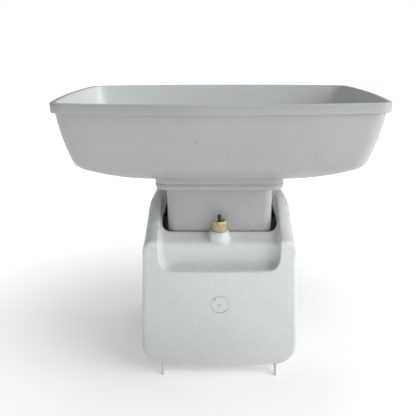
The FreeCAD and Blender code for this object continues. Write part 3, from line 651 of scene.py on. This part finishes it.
def spring_path(low, high):
    """Centre line: lower end ring, leg, open coil, leg, upper end ring."""
    path = []
    for angle in np.radians(np.linspace(-240.0, 90.0, 34)):
        path.append((spring_ring * math.cos(angle), 0.0, low - spring_ring + spring_ring * math.sin(angle)))
    path.append((0.5 * spring_coil, 0.0, low))
    for share in np.linspace(0.0, 1.0, spring_turns * 16 + 1):
        angle = 2.0 * math.pi * spring_turns * share
        path.append((spring_coil * math.cos(angle), spring_coil * math.sin(angle),
                     low + (high - low) * share))
    path.append((0.5 * spring_coil, 0.0, high))
    for angle in np.radians(np.linspace(-90.0, 240.0, 34)):
        path.append((spring_ring * math.cos(angle), 0.0, high + spring_ring + spring_ring * math.sin(angle)))
    return np.array(path) + (0.0, knob_y, 0.0)


def make_spring():
    """Extension spring with a ring at each end; it is attached to no body."""
    low = spring_low[2] + spring_wire + 2.0 * spring_ring
    high = spring_high[2] - spring_wire - 2.0 * spring_ring
    path = spring_path(low, high)
    ahead = np.gradient(path, axis=0)
    ahead /= np.linalg.norm(ahead, axis=1)[:, None]
    side = np.array([0.0, 1.0, 0.0])
    turns = np.radians(np.arange(0.0, 360.0, 45.0))
    rings = []
    for point, along in zip(path, ahead):
        side = side - along * side.dot(along)
        side /= np.linalg.norm(side)
        other = np.cross(along, side)
        around = np.outer(np.cos(turns), side) + np.outer(np.sin(turns), other)
        rings.append(point + spring_wire * around)
    piece = skinned("extension_spring", rings, None, "main_spring")
    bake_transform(piece)
    return piece


# ---- zero knob and screw ----
def round_ring(angles, radius_x, radius_y, z):
    """Ring about the knob's axis; a radius is a number or one number for each angle."""
    return np.column_stack([radius_x * np.cos(angles), knob_y + radius_y * np.sin(angles),
                            np.full(len(angles), z)])


def make_knob():
    radius = knob_high[0]
    height = knob_high[2] - knob_low[2]
    ribs = 34
    per_rib = 6
    count = ribs * per_rib
    angles = np.linspace(0.0, 2.0 * math.pi, count, endpoint=False)
    wave = 0.5 + 0.5 * np.cos(ribs * angles)
    bore = 2.05
    rib_depth = 0.42
    profile = [(bore, 0.0, 0.0), (radius - 0.9, 0.0, 0.0), (radius - 0.35, 0.25, 0.0),
               (radius - 0.25, 1.0, 0.0)]
    profile += [(radius - 0.02, z, rib_depth) for z in np.linspace(1.3, height - 2.0, 9)]
    top = ((0.3, 1.6), (0.3, 0.5), (0.7, 0.05), (1.0, 0.0), (1.4, 0.15), (1.7, 0.8), (1.8, 4.6),
           (2.1, 5.0))
    profile += [(radius - inset, height - down, 0.0) for inset, down in top]
    profile += [(bore + 0.3, height - 5.0, 0.0), (bore, height - 5.3, 0.0), (bore, 0.0, 0.0)]
    rings = []
    for edge, rise, depth in profile:
        ribbed = edge - depth * (1.0 - wave)
        rings.append(round_ring(angles, ribbed, ribbed, knob_low[2] + rise))
    points, faces = rings_to_mesh(rings, False)
    piece = add_piece("knob_nut", points, faces, "zero_knob", ["zero_knob"])
    weld(piece.data)
    sharpen(piece, 55.0)
    return piece


def make_zero_screw():
    """Threaded stud with a chamfered top and a flat eye at its lower end."""
    pitch = 0.7
    count = 28
    top = screw_high[2]
    low = screw_low[2] + 8.0
    angles = np.linspace(0.0, 2.0 * math.pi, count, endpoint=False)
    rings = []
    for z in np.arange(low, top + 0.01, pitch / 6.0):
        phase = ((z - low) / pitch - angles / (2.0 * math.pi)) % 1.0
        depth = 0.38 * np.abs(2.0 * phase - 1.0)
        fade = min(1.0, (top - z) / 0.5)
        radius = (1.97 - depth) * (0.72 + 0.28 * fade)
        rings.append(round_ring(angles, radius, radius, z))
    stud = skinned("zero_stud", rings, "zero_screw", "zero_screw", 60.0)
    eye_z = screw_low[2] + 3.5
    profile = [(1.6, -0.8), (3.0, -0.8), (3.2, -0.6), (3.2, 0.6), (3.0, 0.8), (1.6, 0.8)]
    rings = []
    ring_angles = np.linspace(0.0, 2.0 * math.pi, 40, endpoint=False)
    for radius, off in profile + [profile[0]]:
        rings.append(np.column_stack([np.full(40, off), knob_y - 0.3 + radius * 0.85 * np.cos(ring_angles),
                                      eye_z + radius * 1.05 * np.sin(ring_angles)]))
    points, faces = rings_to_mesh(rings, False)
    eye = add_piece("zero_stud_eye", points, faces, "zero_screw", ["zero_screw"])
    weld(eye.data)
    neck_rings = []
    for z, rx, ry in ((eye_z + 2.6, 0.8, 1.9), (low - 0.8, 0.9, 1.9), (low + 0.2, 1.5, 1.7)):
        neck_rings.append(round_ring(ring_angles, rx, ry, z))
    shank = skinned("zero_stud_shank", neck_rings, "zero_screw", "zero_screw")
    return stud, eye, shank


# ---- feet ----
def make_rear_feet():
    low, high = box_mm("rear_feet")
    pieces = []
    for side in (-1.0, 1.0):
        centre = side * (high[0] - 1.3)
        rings = []
        for k in range(13):
            t = k / 12.0
            z = high[2] + 1.0 - (high[2] + 1.0 - low[2]) * t
            front = 45.0 + (61.5 - 45.0) * t ** 0.85
            back = 63.5 + 1.5 * t
            half = 1.45 - 0.35 * t
            rings.append(block_ring(half, 0.5 * (back - front), min(half, 0.5 * (back - front)) * 0.8, z, 4)
                         + np.array([centre, 0.5 * (back + front), 0.0]))
        name = "rear_fin_right" if side < 0 else "rear_fin_left"
        pieces.append(skinned(name, rings, "housing", "rear_feet", 60.0))
    return pieces


def make_front_feet():
    low, high = box_mm("front_feet")
    centre_x = high[0] - 7.0
    centre_y = 0.5 * (low[1] + high[1])
    profile = [(4.6, 0.0), (5.3, 0.3), (5.6, 1.0), (6.6, 10.6), (6.9, 11.6), (6.6, 12.0),
               (2.4, 12.0), (2.4, high[2])]
    pieces = []
    for side in (-1.0, 1.0):
        name = "front_pad_right" if side < 0 else "front_pad_left"
        rings = lathe(profile, (side * centre_x, centre_y, 0.0), "z", 48)
        pieces.append(skinned(name, rings, "housing", "front_feet", 35.0))
    return pieces


# ---- dial side ----
turn = 334.2               # degrees of pointer travel at full load
load = 5.0                 # kg
scale_radius = 51.5
ink_depth = 0.12


def make_bezel():
    low, high = box_mm("window_bezel")
    outer = high[0]
    bore = outer - 6.0
    y0, y1 = low[1], high[1]
    seat = front_y
    profile = [(bore + 0.2, y1), (bore + 3.8, y1), (bore + 3.8, seat), (outer, seat), (outer, seat - 0.7)]
    profile += [(outer - 1.6 + r, y0 + 1.6 - h) for r, h in arc_points(0.0, 0.0, 1.6, 0.0, 90.0, 6)]
    profile += [(bore + 1.4, y0 + 0.15), (bore + 0.5, y0 + 0.7), (bore, y0 + 1.6), (bore, y1 - 0.3)]
    return closed_lathe("bezel_ring", profile, (0.0, 0.0, dial_centre[2]), "y", "housing",
                        ["window_bezel"], 144, 35.0)


def make_window():
    low, high = box_mm("dial_window")
    radius = high[0]
    back, front = high[1], low[1]
    profile = [(0.4, back - 0.35), (radius * 0.5, back - 0.3), (radius - 2.0, back), (radius, back),
               (radius, front + 0.3), (radius - 0.3, front)]
    for k in range(1, 9):
        r = (radius - 2.5) * (1.0 - k / 8.0) + 0.4
        profile.append((r, front - 1.4 * (1.0 - (r / radius) ** 2)))
    rings = lathe(profile, (0.0, 0.0, dial_centre[2]), "y", 96)
    return skinned("window_lens", rings, "housing", "dial_window", 40.0)


def make_dial():
    low, high = box_mm("dial_plate")
    radius = high[0]
    hole = 3.0
    profile = [(hole, low[1]), (hole, high[1]), (radius, high[1]), (radius, low[1] + 0.3),
               (radius - 0.3, low[1])]
    plate = closed_lathe("dial_face", profile, (0.0, 0.0, dial_centre[2]), "y", "housing",
                         ["dial_plate"], 144, 35.0)
    return plate, low[1]


def dial_bar(points, faces, angle, inner, outer, width, y):
    """One printed mark: a thin bar across the scale ring; 0 degrees is up, clockwise."""
    start = len(points)
    s, c = math.sin(angle), math.cos(angle)
    for depth in (y, y - ink_depth):
        for radius, side in ((inner, -1), (outer, -1), (outer, 1), (inner, 1)):
            x = radius * s + side * 0.5 * width * c
            z = radius * c - side * 0.5 * width * s
            points.append((x, depth, dial_centre[2] + z))
    for face in ((0, 1, 2, 3), (7, 6, 5, 4), (0, 4, 5, 1), (1, 5, 6, 2), (2, 6, 7, 3), (3, 7, 4, 0)):
        faces.append(tuple(start + k for k in face))


def make_marks(face_y):
    points, faces = [], []
    marks = int(round(load / 0.02))
    for k in range(marks + 1):
        angle = math.radians(turn) * k / marks
        inner, width = (42.5, 0.9) if k % 25 == 0 else (45.5, 0.5) if k % 5 == 0 else (48.5, 0.22)
        dial_bar(points, faces, angle, inner, scale_radius, width, face_y)
    piece = add_piece("dial_marks", points, faces, "housing", (), False)
    outward(piece)
    outer = scale_radius + 0.4
    profile = [(scale_radius, face_y), (outer, face_y), (outer, face_y - ink_depth),
               (scale_radius, face_y - ink_depth)]
    circle = closed_lathe("dial_circle", profile, (0.0, 0.0, dial_centre[2]), "y", "housing", (),
                          144, 35.0)
    return [piece, circle]


def make_numbers(face_y):
    pieces = []
    for value in range(int(load) + 1):
        angle = math.radians(turn) * value / load
        pieces.append(number_piece("dial_number_%d" % value, str(value), 9.0, 36.0, angle, face_y))
        if value < load:
            middle = math.radians(turn) * (value + 0.5) / load
            pieces.append(number_piece("dial_half_%d" % value, "500", 4.2, 38.8, middle, face_y))
    return pieces


def number_piece(name, text, size, radius, angle, face_y):
    curve = bpy.data.curves.new(name, "FONT")
    curve.body = text
    curve.size = size * MM
    curve.align_x = "CENTER"
    curve.align_y = "CENTER"
    curve.extrude = 0.06 * MM
    curve.resolution_u = 4
    holder = to_scene(name + "_text", curve)
    graph = bpy.context.evaluated_depsgraph_get()
    mesh = bpy.data.meshes.new_from_object(holder.evaluated_get(graph))
    mesh.name = name
    bpy.data.objects.remove(holder, do_unlink=True)
    place = Vector((radius * math.sin(angle), face_y - 0.06, dial_centre[2] + radius * math.cos(angle)))
    mesh.transform(Matrix.Translation(place * MM) @ Matrix.Rotation(math.radians(90.0), 4, "X"))
    weld(mesh)
    piece = to_scene(name, mesh)
    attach(piece, "housing")
    return piece


def make_pointer():
    """A tapered needle with a counterweight, raised a little along its middle."""
    low, high = box_mm("pointer")
    y_back, y_front = high[1], low[1]
    base_z = dial_centre[2]
    rings = []
    stations = [(-13.0, 1.9), (-12.4, 2.6), (-11.0, 3.0), (-9.0, 2.6), (-6.0, 1.7), (0.0, 1.7),
                (6.0, 1.6), (20.0, 1.2), (34.0, 0.8), (44.0, 0.45), (45.9, 0.15)]
    for along, half in stations:
        ridge = 0.18 * min(1.0, half)
        rings.append(np.array([(-half, y_back, base_z + along), (-half, y_front + 0.15, base_z + along),
                               (0.0, y_front - ridge + 0.15, base_z + along),
                               (half, y_front + 0.15, base_z + along), (half, y_back, base_z + along)]))
    needle = skinned("needle", rings, "pointer", "pointer", smooth=False)
    hub_back = box_mm("pointer_hub")[1][1]
    profile = [(0.3, y_front - 1.0), (2.4, y_front - 0.9), (3.4, y_front - 0.5), (3.8, y_front + 0.2),
               (3.8, y_back + 0.4), (2.6, y_back + 0.5), (2.6, hub_back), (0.3, hub_back)]
    rings = lathe(profile, (0.0, 0.0, base_z), "y", 64)
    hub = skinned("needle_hub", rings, "pointer", "pointer_hub", 35.0)
    return needle, hub


# ---- materials ----
plastic_ior = 1.5
window_ior = 1.08          # low, so that the dial behind is hardly bent


class Nodes:
    """Small helper to build one material's nodes."""

    def __init__(self, name):
        self.material = bpy.data.materials.new(name)
        self.material.use_nodes = True
        self.tree = self.material.node_tree
        self.shader = self.tree.nodes["Principled BSDF"]
        self.place = self.tree.nodes.new("ShaderNodeTexCoord").outputs["Object"]

    def link(self, source, target):
        self.tree.links.new(source, target)

    def new(self, kind, **values):
        """A shader node with these unlinked input values; _ stands for a space."""
        node = self.tree.nodes.new("ShaderNode" + kind)
        for key, value in values.items():
            node.inputs[key.replace("_", " ")].default_value = value
        return node

    def noise(self, scale, detail=3.0, rough=0.5, stretch=None):
        node = self.new("TexNoise", Scale=scale, Detail=detail, Roughness=rough)
        self.link(self.stretched(stretch), node.inputs["Vector"])
        return node.outputs["Fac"]

    def stretched(self, stretch):
        if stretch is None:
            return self.place
        node = self.new("Mapping", Scale=stretch)
        self.link(self.place, node.inputs["Vector"])
        return node.outputs["Vector"]

    def specks(self, scale, size, share):
        """1 inside sparse round specks, 0 elsewhere."""
        node = self.new("TexVoronoi", Scale=scale)
        self.link(self.place, node.inputs["Vector"])
        spot = self.ramp(node.outputs["Distance"], size * 0.6, size, 1.0, 0.0)
        split = self.new("SeparateColor")
        self.link(node.outputs["Color"], split.inputs["Color"])
        chosen = self.ramp(split.outputs["Red"], share, share + 0.01, 1.0, 0.0)
        return self.math("MULTIPLY", spot, chosen)

    def ramp(self, source, low, high, out_low=0.0, out_high=1.0):
        node = self.new("MapRange", From_Min=low, From_Max=high, To_Min=out_low, To_Max=out_high)
        self.link(source, node.inputs["Value"])
        return node.outputs["Result"]

    def math(self, kind, a, b):
        node = self.new("Math")
        node.operation = kind
        for value, socket in ((a, node.inputs[0]), (b, node.inputs[1])):
            if isinstance(value, (int, float)):
                socket.default_value = value
            else:
                self.link(value, socket)
        return node.outputs["Value"]

    def mix(self, factor, a, b):
        node = self.new("Mix")
        node.data_type = "RGBA"
        self.link(factor, node.inputs["Factor"])
        for value, socket in ((a, node.inputs["A"]), (b, node.inputs["B"])):
            if isinstance(value, tuple):
                socket.default_value = value + (1.0,)
            else:
                self.link(value, socket)
        return node.outputs["Result"]

    def crevices(self, distance, low, high):
        """1 in corners and gaps, where the surroundings hide the light, and 0 on open faces: a mask for
        painted shade.
        """
        node = self.new("AmbientOcclusion", Distance=distance)
        node.samples = 8
        return self.ramp(node.outputs["AO"], low, high, 1.0, 0.0)

    def bump(self, height, strength, distance):
        node = self.new("Bump", Strength=strength, Distance=distance)
        self.link(height, node.inputs["Height"])
        return node

    def finish(self, colour, roughness, bumps):
        self.link(colour, self.shader.inputs["Base Color"])
        self.link(roughness, self.shader.inputs["Roughness"])
        previous = None
        for node in bumps:
            if previous is not None:
                self.link(previous.outputs["Normal"], node.inputs["Normal"])
            previous = node
        self.link(previous.outputs["Normal"], self.shader.inputs["Normal"])
        return self.material


def moulded_plastic(name, base, shade, grime_and_shade, gloss, scuffs):
    """Aged light thermoplastic: cloudy tone, specks, hairline scuffs, painted shade in corners."""
    n = Nodes(name)
    cloud = n.noise(14.0, 4.0, 0.55)
    blotch = n.noise(90.0, 5.0, 0.6)
    tone = n.math("ADD", n.math("MULTIPLY", cloud, 0.65), n.math("MULTIPLY", blotch, 0.35))
    colour = n.mix(n.ramp(tone, 0.35, 0.68), base, shade)
    # Painted shade: the colour turns towards the grime colour in corners and gaps, where the surroundings
    # hide the light.
    corner = n.math("MULTIPLY", n.crevices(0.006, 0.35, 0.85), n.ramp(blotch, 0.3, 0.7, 0.35, 0.9))
    colour = n.mix(n.math("MULTIPLY", corner, 0.55), colour, grime_and_shade)
    hair = n.noise(34.0, 5.0, 0.7, (3.0, 3.0, 1.0))
    hair = n.ramp(hair, 0.60, 0.68)
    patch = n.ramp(n.noise(13.0, 2.0, 0.5), 0.48, 0.66)
    mark = n.math("MULTIPLY", n.math("MULTIPLY", hair, patch), scuffs)
    colour = n.mix(n.math("MULTIPLY", mark, 0.4), colour, grime_and_shade)
    dots = n.specks(55.0, 0.05, 0.30)
    small = n.specks(150.0, 0.07, 0.05)
    dirt = n.math("MAXIMUM", dots, n.math("MULTIPLY", small, 0.7))
    colour = n.mix(n.math("MULTIPLY", dirt, 0.7), colour, tuple(0.35 * g for g in grime_and_shade))
    rough = n.math("ADD", n.ramp(blotch, 0.3, 0.7, gloss - 0.05, gloss + 0.07),
                   n.math("MULTIPLY", mark, 0.06))
    grain = n.bump(n.noise(1500.0, 2.0, 0.5), 0.12, 0.0004)
    flow = n.bump(n.noise(60.0, 2.0, 0.5), 0.10, 0.0012)
    n.shader.inputs["IOR"].default_value = plastic_ior
    return n.finish(colour, rough, [flow, grain])


def metal(name, base, shade, gloss, stretch, strength=0.25):
    """Plated or drawn metal with fine directional lines and dull patches."""
    n = Nodes(name)
    lines = n.noise(60.0, 5.0, 0.65, stretch)
    cloud = n.noise(45.0, 4.0, 0.6)
    colour = n.mix(n.ramp(cloud, 0.35, 0.7), base, shade)
    # Painted shade: darker in corners and gaps, where the surroundings hide the light.
    colour = n.mix(n.math("MULTIPLY", n.crevices(0.003, 0.3, 0.8), 0.6), colour,
                   tuple(0.3 * c for c in shade))
    rough = n.math("ADD", n.ramp(lines, 0.3, 0.7, gloss - 0.06, gloss + 0.10),
                   n.ramp(cloud, 0.4, 0.8, 0.0, 0.12))
    n.shader.inputs["Metallic"].default_value = 1.0
    return n.finish(colour, rough, [n.bump(lines, strength, 0.0003), n.bump(cloud, 0.1, 0.0006)])


def knob_plastic():
    """Old urea plastic: yellowed unevenly, brown dirt and painted shade between the ribs."""
    n = Nodes("knob_cream")
    cloud = n.noise(160.0, 5.0, 0.65)
    colour = n.mix(n.ramp(cloud, 0.35, 0.66), (0.62, 0.54, 0.33), (0.42, 0.32, 0.14))
    # Brown dirt and painted shade: darker between the ribs, where the surroundings hide the light.
    dirt = n.crevices(0.0012, 0.25, 0.9)
    colour = n.mix(n.math("MULTIPLY", dirt, n.ramp(cloud, 0.3, 0.7, 0.35, 0.95)), colour,
                   (0.20, 0.14, 0.06))
    fine = n.noise(2400.0, 3.0, 0.6)
    rough = n.ramp(cloud, 0.3, 0.7, 0.38, 0.6)
    n.shader.inputs["IOR"].default_value = plastic_ior
    return n.finish(colour, rough, [n.bump(cloud, 0.25, 0.0004), n.bump(fine, 0.2, 0.0002)])


def painted(name, base, shade, gloss):
    """Printed or enamelled sheet with a faint orange peel and yellowing."""
    n = Nodes(name)
    cloud = n.noise(25.0, 4.0, 0.6)
    peel = n.noise(800.0, 2.0, 0.5)
    colour = n.mix(n.ramp(cloud, 0.35, 0.7), base, shade)
    speck = n.math("MULTIPLY", n.specks(260.0, 0.09, 0.06), 0.6)
    colour = n.mix(speck, colour, tuple(0.45 * c for c in shade))
    rough = n.ramp(cloud, 0.3, 0.7, gloss - 0.05, gloss + 0.08)
    n.shader.inputs["IOR"].default_value = plastic_ior
    return n.finish(colour, rough, [n.bump(peel, 0.10, 0.0003)])


def rubber():
    n = Nodes("rubber_black")
    cloud = n.noise(120.0, 4.0, 0.6)
    colour = n.mix(n.ramp(cloud, 0.35, 0.7), (0.028, 0.028, 0.029), (0.075, 0.073, 0.07))
    rough = n.ramp(cloud, 0.3, 0.7, 0.7, 0.92)
    return n.finish(colour, rough, [n.bump(n.noise(1300.0, 3.0, 0.6), 0.3, 0.0003)])


def clear_plastic():
    """Clear moulded window with fine wipe marks."""
    n = Nodes("window_clear")
    wipe = n.noise(80.0, 6.0, 0.7, (9.0, 1.0, 1.5))
    tint = n.mix(n.ramp(wipe, 0.4, 0.7), (0.95, 0.965, 0.96), (0.90, 0.925, 0.92))
    rough = n.ramp(wipe, 0.45, 0.75, 0.02, 0.10)
    n.shader.inputs["Transmission Weight"].default_value = 1.0
    n.shader.inputs["IOR"].default_value = window_ior
    n.shader.inputs["Specular IOR Level"].default_value = 0.5
    return n.finish(tint, rough, [n.bump(wipe, 0.03, 0.0002)])


def dress(piece, material):
    piece.data.materials.clear()
    piece.data.materials.append(material)


def darken_inside(shell, material):
    """Faces under the outer skin take a dark copy of the plastic: painted shade on the inside of the
    housing.
    """
    shell.data.materials.append(material)
    count = len(shell.data.polygons)
    centres = np.empty(count * 3)
    shell.data.polygons.foreach_get("center", centres)
    x, y, z = centres.reshape(-1, 3).T / MM
    inside = (moulded_form(x, y, z) < -0.6 * wall).astype(np.int32)
    shell.data.polygons.foreach_set("material_index", inside)


def lighten_inside(pan, material):
    """Painted light: the inside of the pan and its upward faces take their own, lighter material."""
    pan.data.materials.append(material)
    for face in pan.data.polygons:
        across = face.normal.x * face.center.x + face.normal.y * face.center.y
        face.material_index = 1 if across < 0.0 or face.normal.z > 0.6 else 0


def dress_node(node, material):
    """A carried-over CAD part keeps its mesh and gets this material in each slot."""
    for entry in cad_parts[node].material_slots:
        entry.material = material


# ---- build ----
house_step = 1.1

shell_grey = moulded_plastic("shell_grey", (0.70, 0.72, 0.725), (0.65, 0.67, 0.67),
                             (0.33, 0.31, 0.26), 0.28, 0.4)
# Painted shade: a dark copy of the shell plastic for the inside, which the light hardly reaches.
shell_shaded_inside = moulded_plastic("shell_shaded_inside_grey", (0.16, 0.16, 0.155), (0.10, 0.10, 0.095),
                               (0.06, 0.055, 0.05), 0.6, 0.2)
# Painted light: a lighter copy of the pan plastic for the inside and the upward faces.
pan_lit_inside = moulded_plastic("pan_lit_inside_grey", (0.80, 0.84, 0.83), (0.755, 0.79, 0.775),
                             (0.42, 0.40, 0.34), 0.33, 0.4)
# Painted shade: a darker copy of the housing plastic for the outside of the pan and its foot, which face
# away from the light.
pan_shaded_grey = moulded_plastic("pan_shaded_grey", (0.41, 0.42, 0.408), (0.37, 0.38, 0.365),
                           (0.34, 0.32, 0.27), 0.33, 0.4)
# Painted shade: a darker copy of the housing plastic for the neck and the platform, which lie in the shadow
# of the pan.
neck_shaded_grey = moulded_plastic("neck_shaded_grey", (0.44, 0.445, 0.455), (0.38, 0.385, 0.385),
                            (0.30, 0.27, 0.22), 0.42, 1.0)
cream = knob_plastic()
zinc = metal("zinc_sheet", (0.62, 0.63, 0.64), (0.45, 0.46, 0.47), 0.36, (1.0, 1.0, 20.0))
screw_zinc = metal("screw_zinc", (0.60, 0.60, 0.60), (0.42, 0.42, 0.42), 0.33, (6.0, 6.0, 6.0))
dark_steel = metal("dark_steel", (0.16, 0.16, 0.17), (0.07, 0.065, 0.06), 0.40, (4.0, 4.0, 30.0), 0.3)
spring_steel = metal("spring_steel", (0.50, 0.50, 0.51), (0.32, 0.32, 0.33), 0.30, (5.0, 5.0, 5.0))
brass = metal("brass_turned", (0.74, 0.56, 0.26), (0.50, 0.36, 0.15), 0.30, (8.0, 1.0, 8.0))
chrome = metal("bezel_plating", (0.86, 0.86, 0.87), (0.70, 0.70, 0.71), 0.13, (1.0, 12.0, 1.0), 0.08)
dial_white = painted("dial_white", (0.86, 0.85, 0.80), (0.80, 0.78, 0.70), 0.42)
ink = painted("dial_ink", (0.028, 0.030, 0.034), (0.05, 0.05, 0.055), 0.5)
red = painted("pointer_red", (0.62, 0.035, 0.025), (0.50, 0.028, 0.02), 0.32)
black_rubber = rubber()
clear = clear_plastic()

housing = make_housing()
cover = make_front_cover()
for piece in (housing, cover):
    dress(piece, shell_grey)
darken_inside(housing, shell_shaded_inside)
pan = make_pan()
dress(pan, pan_shaded_grey)
lighten_inside(pan, pan_lit_inside)
dress(make_pan_foot(), pan_shaded_grey)
dress(make_platform(), neck_shaded_grey)
dress(make_neck(), neck_shaded_grey)
dress(make_knob(), cream)
for piece in make_zero_screw():
    dress(piece, dark_steel)
for fin in make_rear_feet():
    dress(fin, shell_grey)
for pad in make_front_feet():
    dress(pad, black_rubber)
dress(make_bezel(), chrome)
dress(make_window(), clear)
dial_plate, dial_y = make_dial()
dress(dial_plate, dial_white)
for piece in make_marks(dial_y) + make_numbers(dial_y):
    dress(piece, ink)
needle, needle_hub = make_pointer()
dress(needle, red)
dress(needle_hub, brass)

for node in ("frame_bracket", "bearing_bracket", "carriage_bracket", "upper_lever", "lower_lever"):
    dress_node(node, zinc)
for node in ("platform_screws", "cover_screws", "frame_screws", "pivot_pins", "dial_screws",
             "pointer_shaft", "bracket_screws", "carriage_pins"):
    dress_node(node, screw_zinc)
for node in ("bearing_rivet", "front_bush", "rear_bush", "dial_posts", "pinion", "rack", "rack_rivet"):
    dress_node(node, brass)
dress(make_spring(), spring_steel)


# ---- floor, light and camera ----
world_strength = 0.22
floor_glow = 0.26
far_glow = 0.92
glow_from, glow_to = 0.10, 0.50      # metres from the object
camera_place = (0.0038, 0.5415, rim_z * MM + 0.0509)
camera_lens = 46.73


def make_floor():
    half = 6.0
    mesh = bpy.data.meshes.new("floor")
    corners = [(-half, -half, 0), (half, -half, 0), (half, half, 0), (-half, half, 0)]
    mesh.from_pydata(corners, [], [(0, 1, 2, 3)])
    floor = to_scene("floor", mesh)
    n = Nodes("floor_white")
    cloud = n.noise(3.0, 2.0, 0.5)
    colour = n.mix(cloud, (0.92, 0.92, 0.92), (0.94, 0.94, 0.94))
    rough = n.ramp(cloud, 0.0, 1.0, 0.85, 0.95)
    n.shader.inputs["Emission Color"].default_value = (1.0, 1.0, 1.0, 1.0)
    reach = n.new("VectorMath")
    reach.operation = "LENGTH"
    n.link(n.place, reach.inputs[0])
    # Painted light: the floor glows, weaker near the object than far from it.
    glow = n.ramp(reach.outputs["Value"], glow_from, glow_to, floor_glow, far_glow)
    n.link(glow, n.shader.inputs["Emission Strength"])
    dress(floor, n.finish(colour, rough, [n.bump(cloud, 0.02, 0.001)]))


def area_light(name, place, target, size, power):
    data = bpy.data.lights.new(name, "AREA")
    data.shape = "RECTANGLE"
    data.size, data.size_y = size
    data.energy = power
    light = to_scene(name, data)
    light.location = place
    light.rotation_euler = (Vector(target) - Vector(place)).to_track_quat("-Z", "Y").to_euler()


def make_world():
    world = bpy.data.worlds.new("studio")
    world.use_nodes = True
    tree = world.node_tree
    back = tree.nodes["Background"]
    back.inputs["Color"].default_value = (0.95, 0.97, 1.0, 1.0)
    back.inputs["Strength"].default_value = world_strength
    seen = tree.nodes.new("ShaderNodeBackground")
    seen.inputs["Color"].default_value = (1.0, 1.0, 1.0, 1.0)
    path = tree.nodes.new("ShaderNodeLightPath")
    choice = tree.nodes.new("ShaderNodeMixShader")
    tree.links.new(path.outputs["Is Camera Ray"], choice.inputs["Fac"])
    tree.links.new(back.outputs["Background"], choice.inputs[1])
    tree.links.new(seen.outputs["Background"], choice.inputs[2])
    tree.links.new(choice.outputs["Shader"], tree.nodes["World Output"].inputs["Surface"])
    bpy.context.scene.world = world


def make_camera():
    place = Vector(camera_place)
    pitch = math.radians(17.4)
    yaw = math.radians(0.84)
    roll = math.radians(-0.22)
    forward = Vector((math.sin(yaw) * math.cos(pitch), -math.cos(yaw) * math.cos(pitch), -math.sin(pitch)))
    right = forward.cross(Vector((0, 0, 1))).normalized()
    up = right.cross(forward)
    right_rolled = right * math.cos(roll) + up * math.sin(roll)
    up_rolled = up * math.cos(roll) - right * math.sin(roll)
    data = bpy.data.cameras.new("camera")
    data.sensor_width = 36.0
    data.lens = camera_lens
    data.clip_start = 0.01
    camera = to_scene("camera", data)
    turn_to = Matrix((right_rolled, up_rolled, -forward)).transposed().to_4x4()
    camera.matrix_world = Matrix.Translation(place) @ turn_to
    bpy.context.scene.camera = camera


make_floor()
make_world()
area_light("key", (-1.25, 0.85, 1.05), (0.0, 0.0, 0.17), (1.0, 1.0), 12.0)
area_light("side", (-1.9, 0.18, 0.60), (0.0, 0.0, 0.17), (0.6, 0.6), 13.0)
area_light("glint", (-0.12, 1.0, 1.35), (0.0, 0.05, 0.14), (0.6, 0.08), 1.4)
make_camera()
bpy.context.scene.view_settings.view_transform = "Standard"
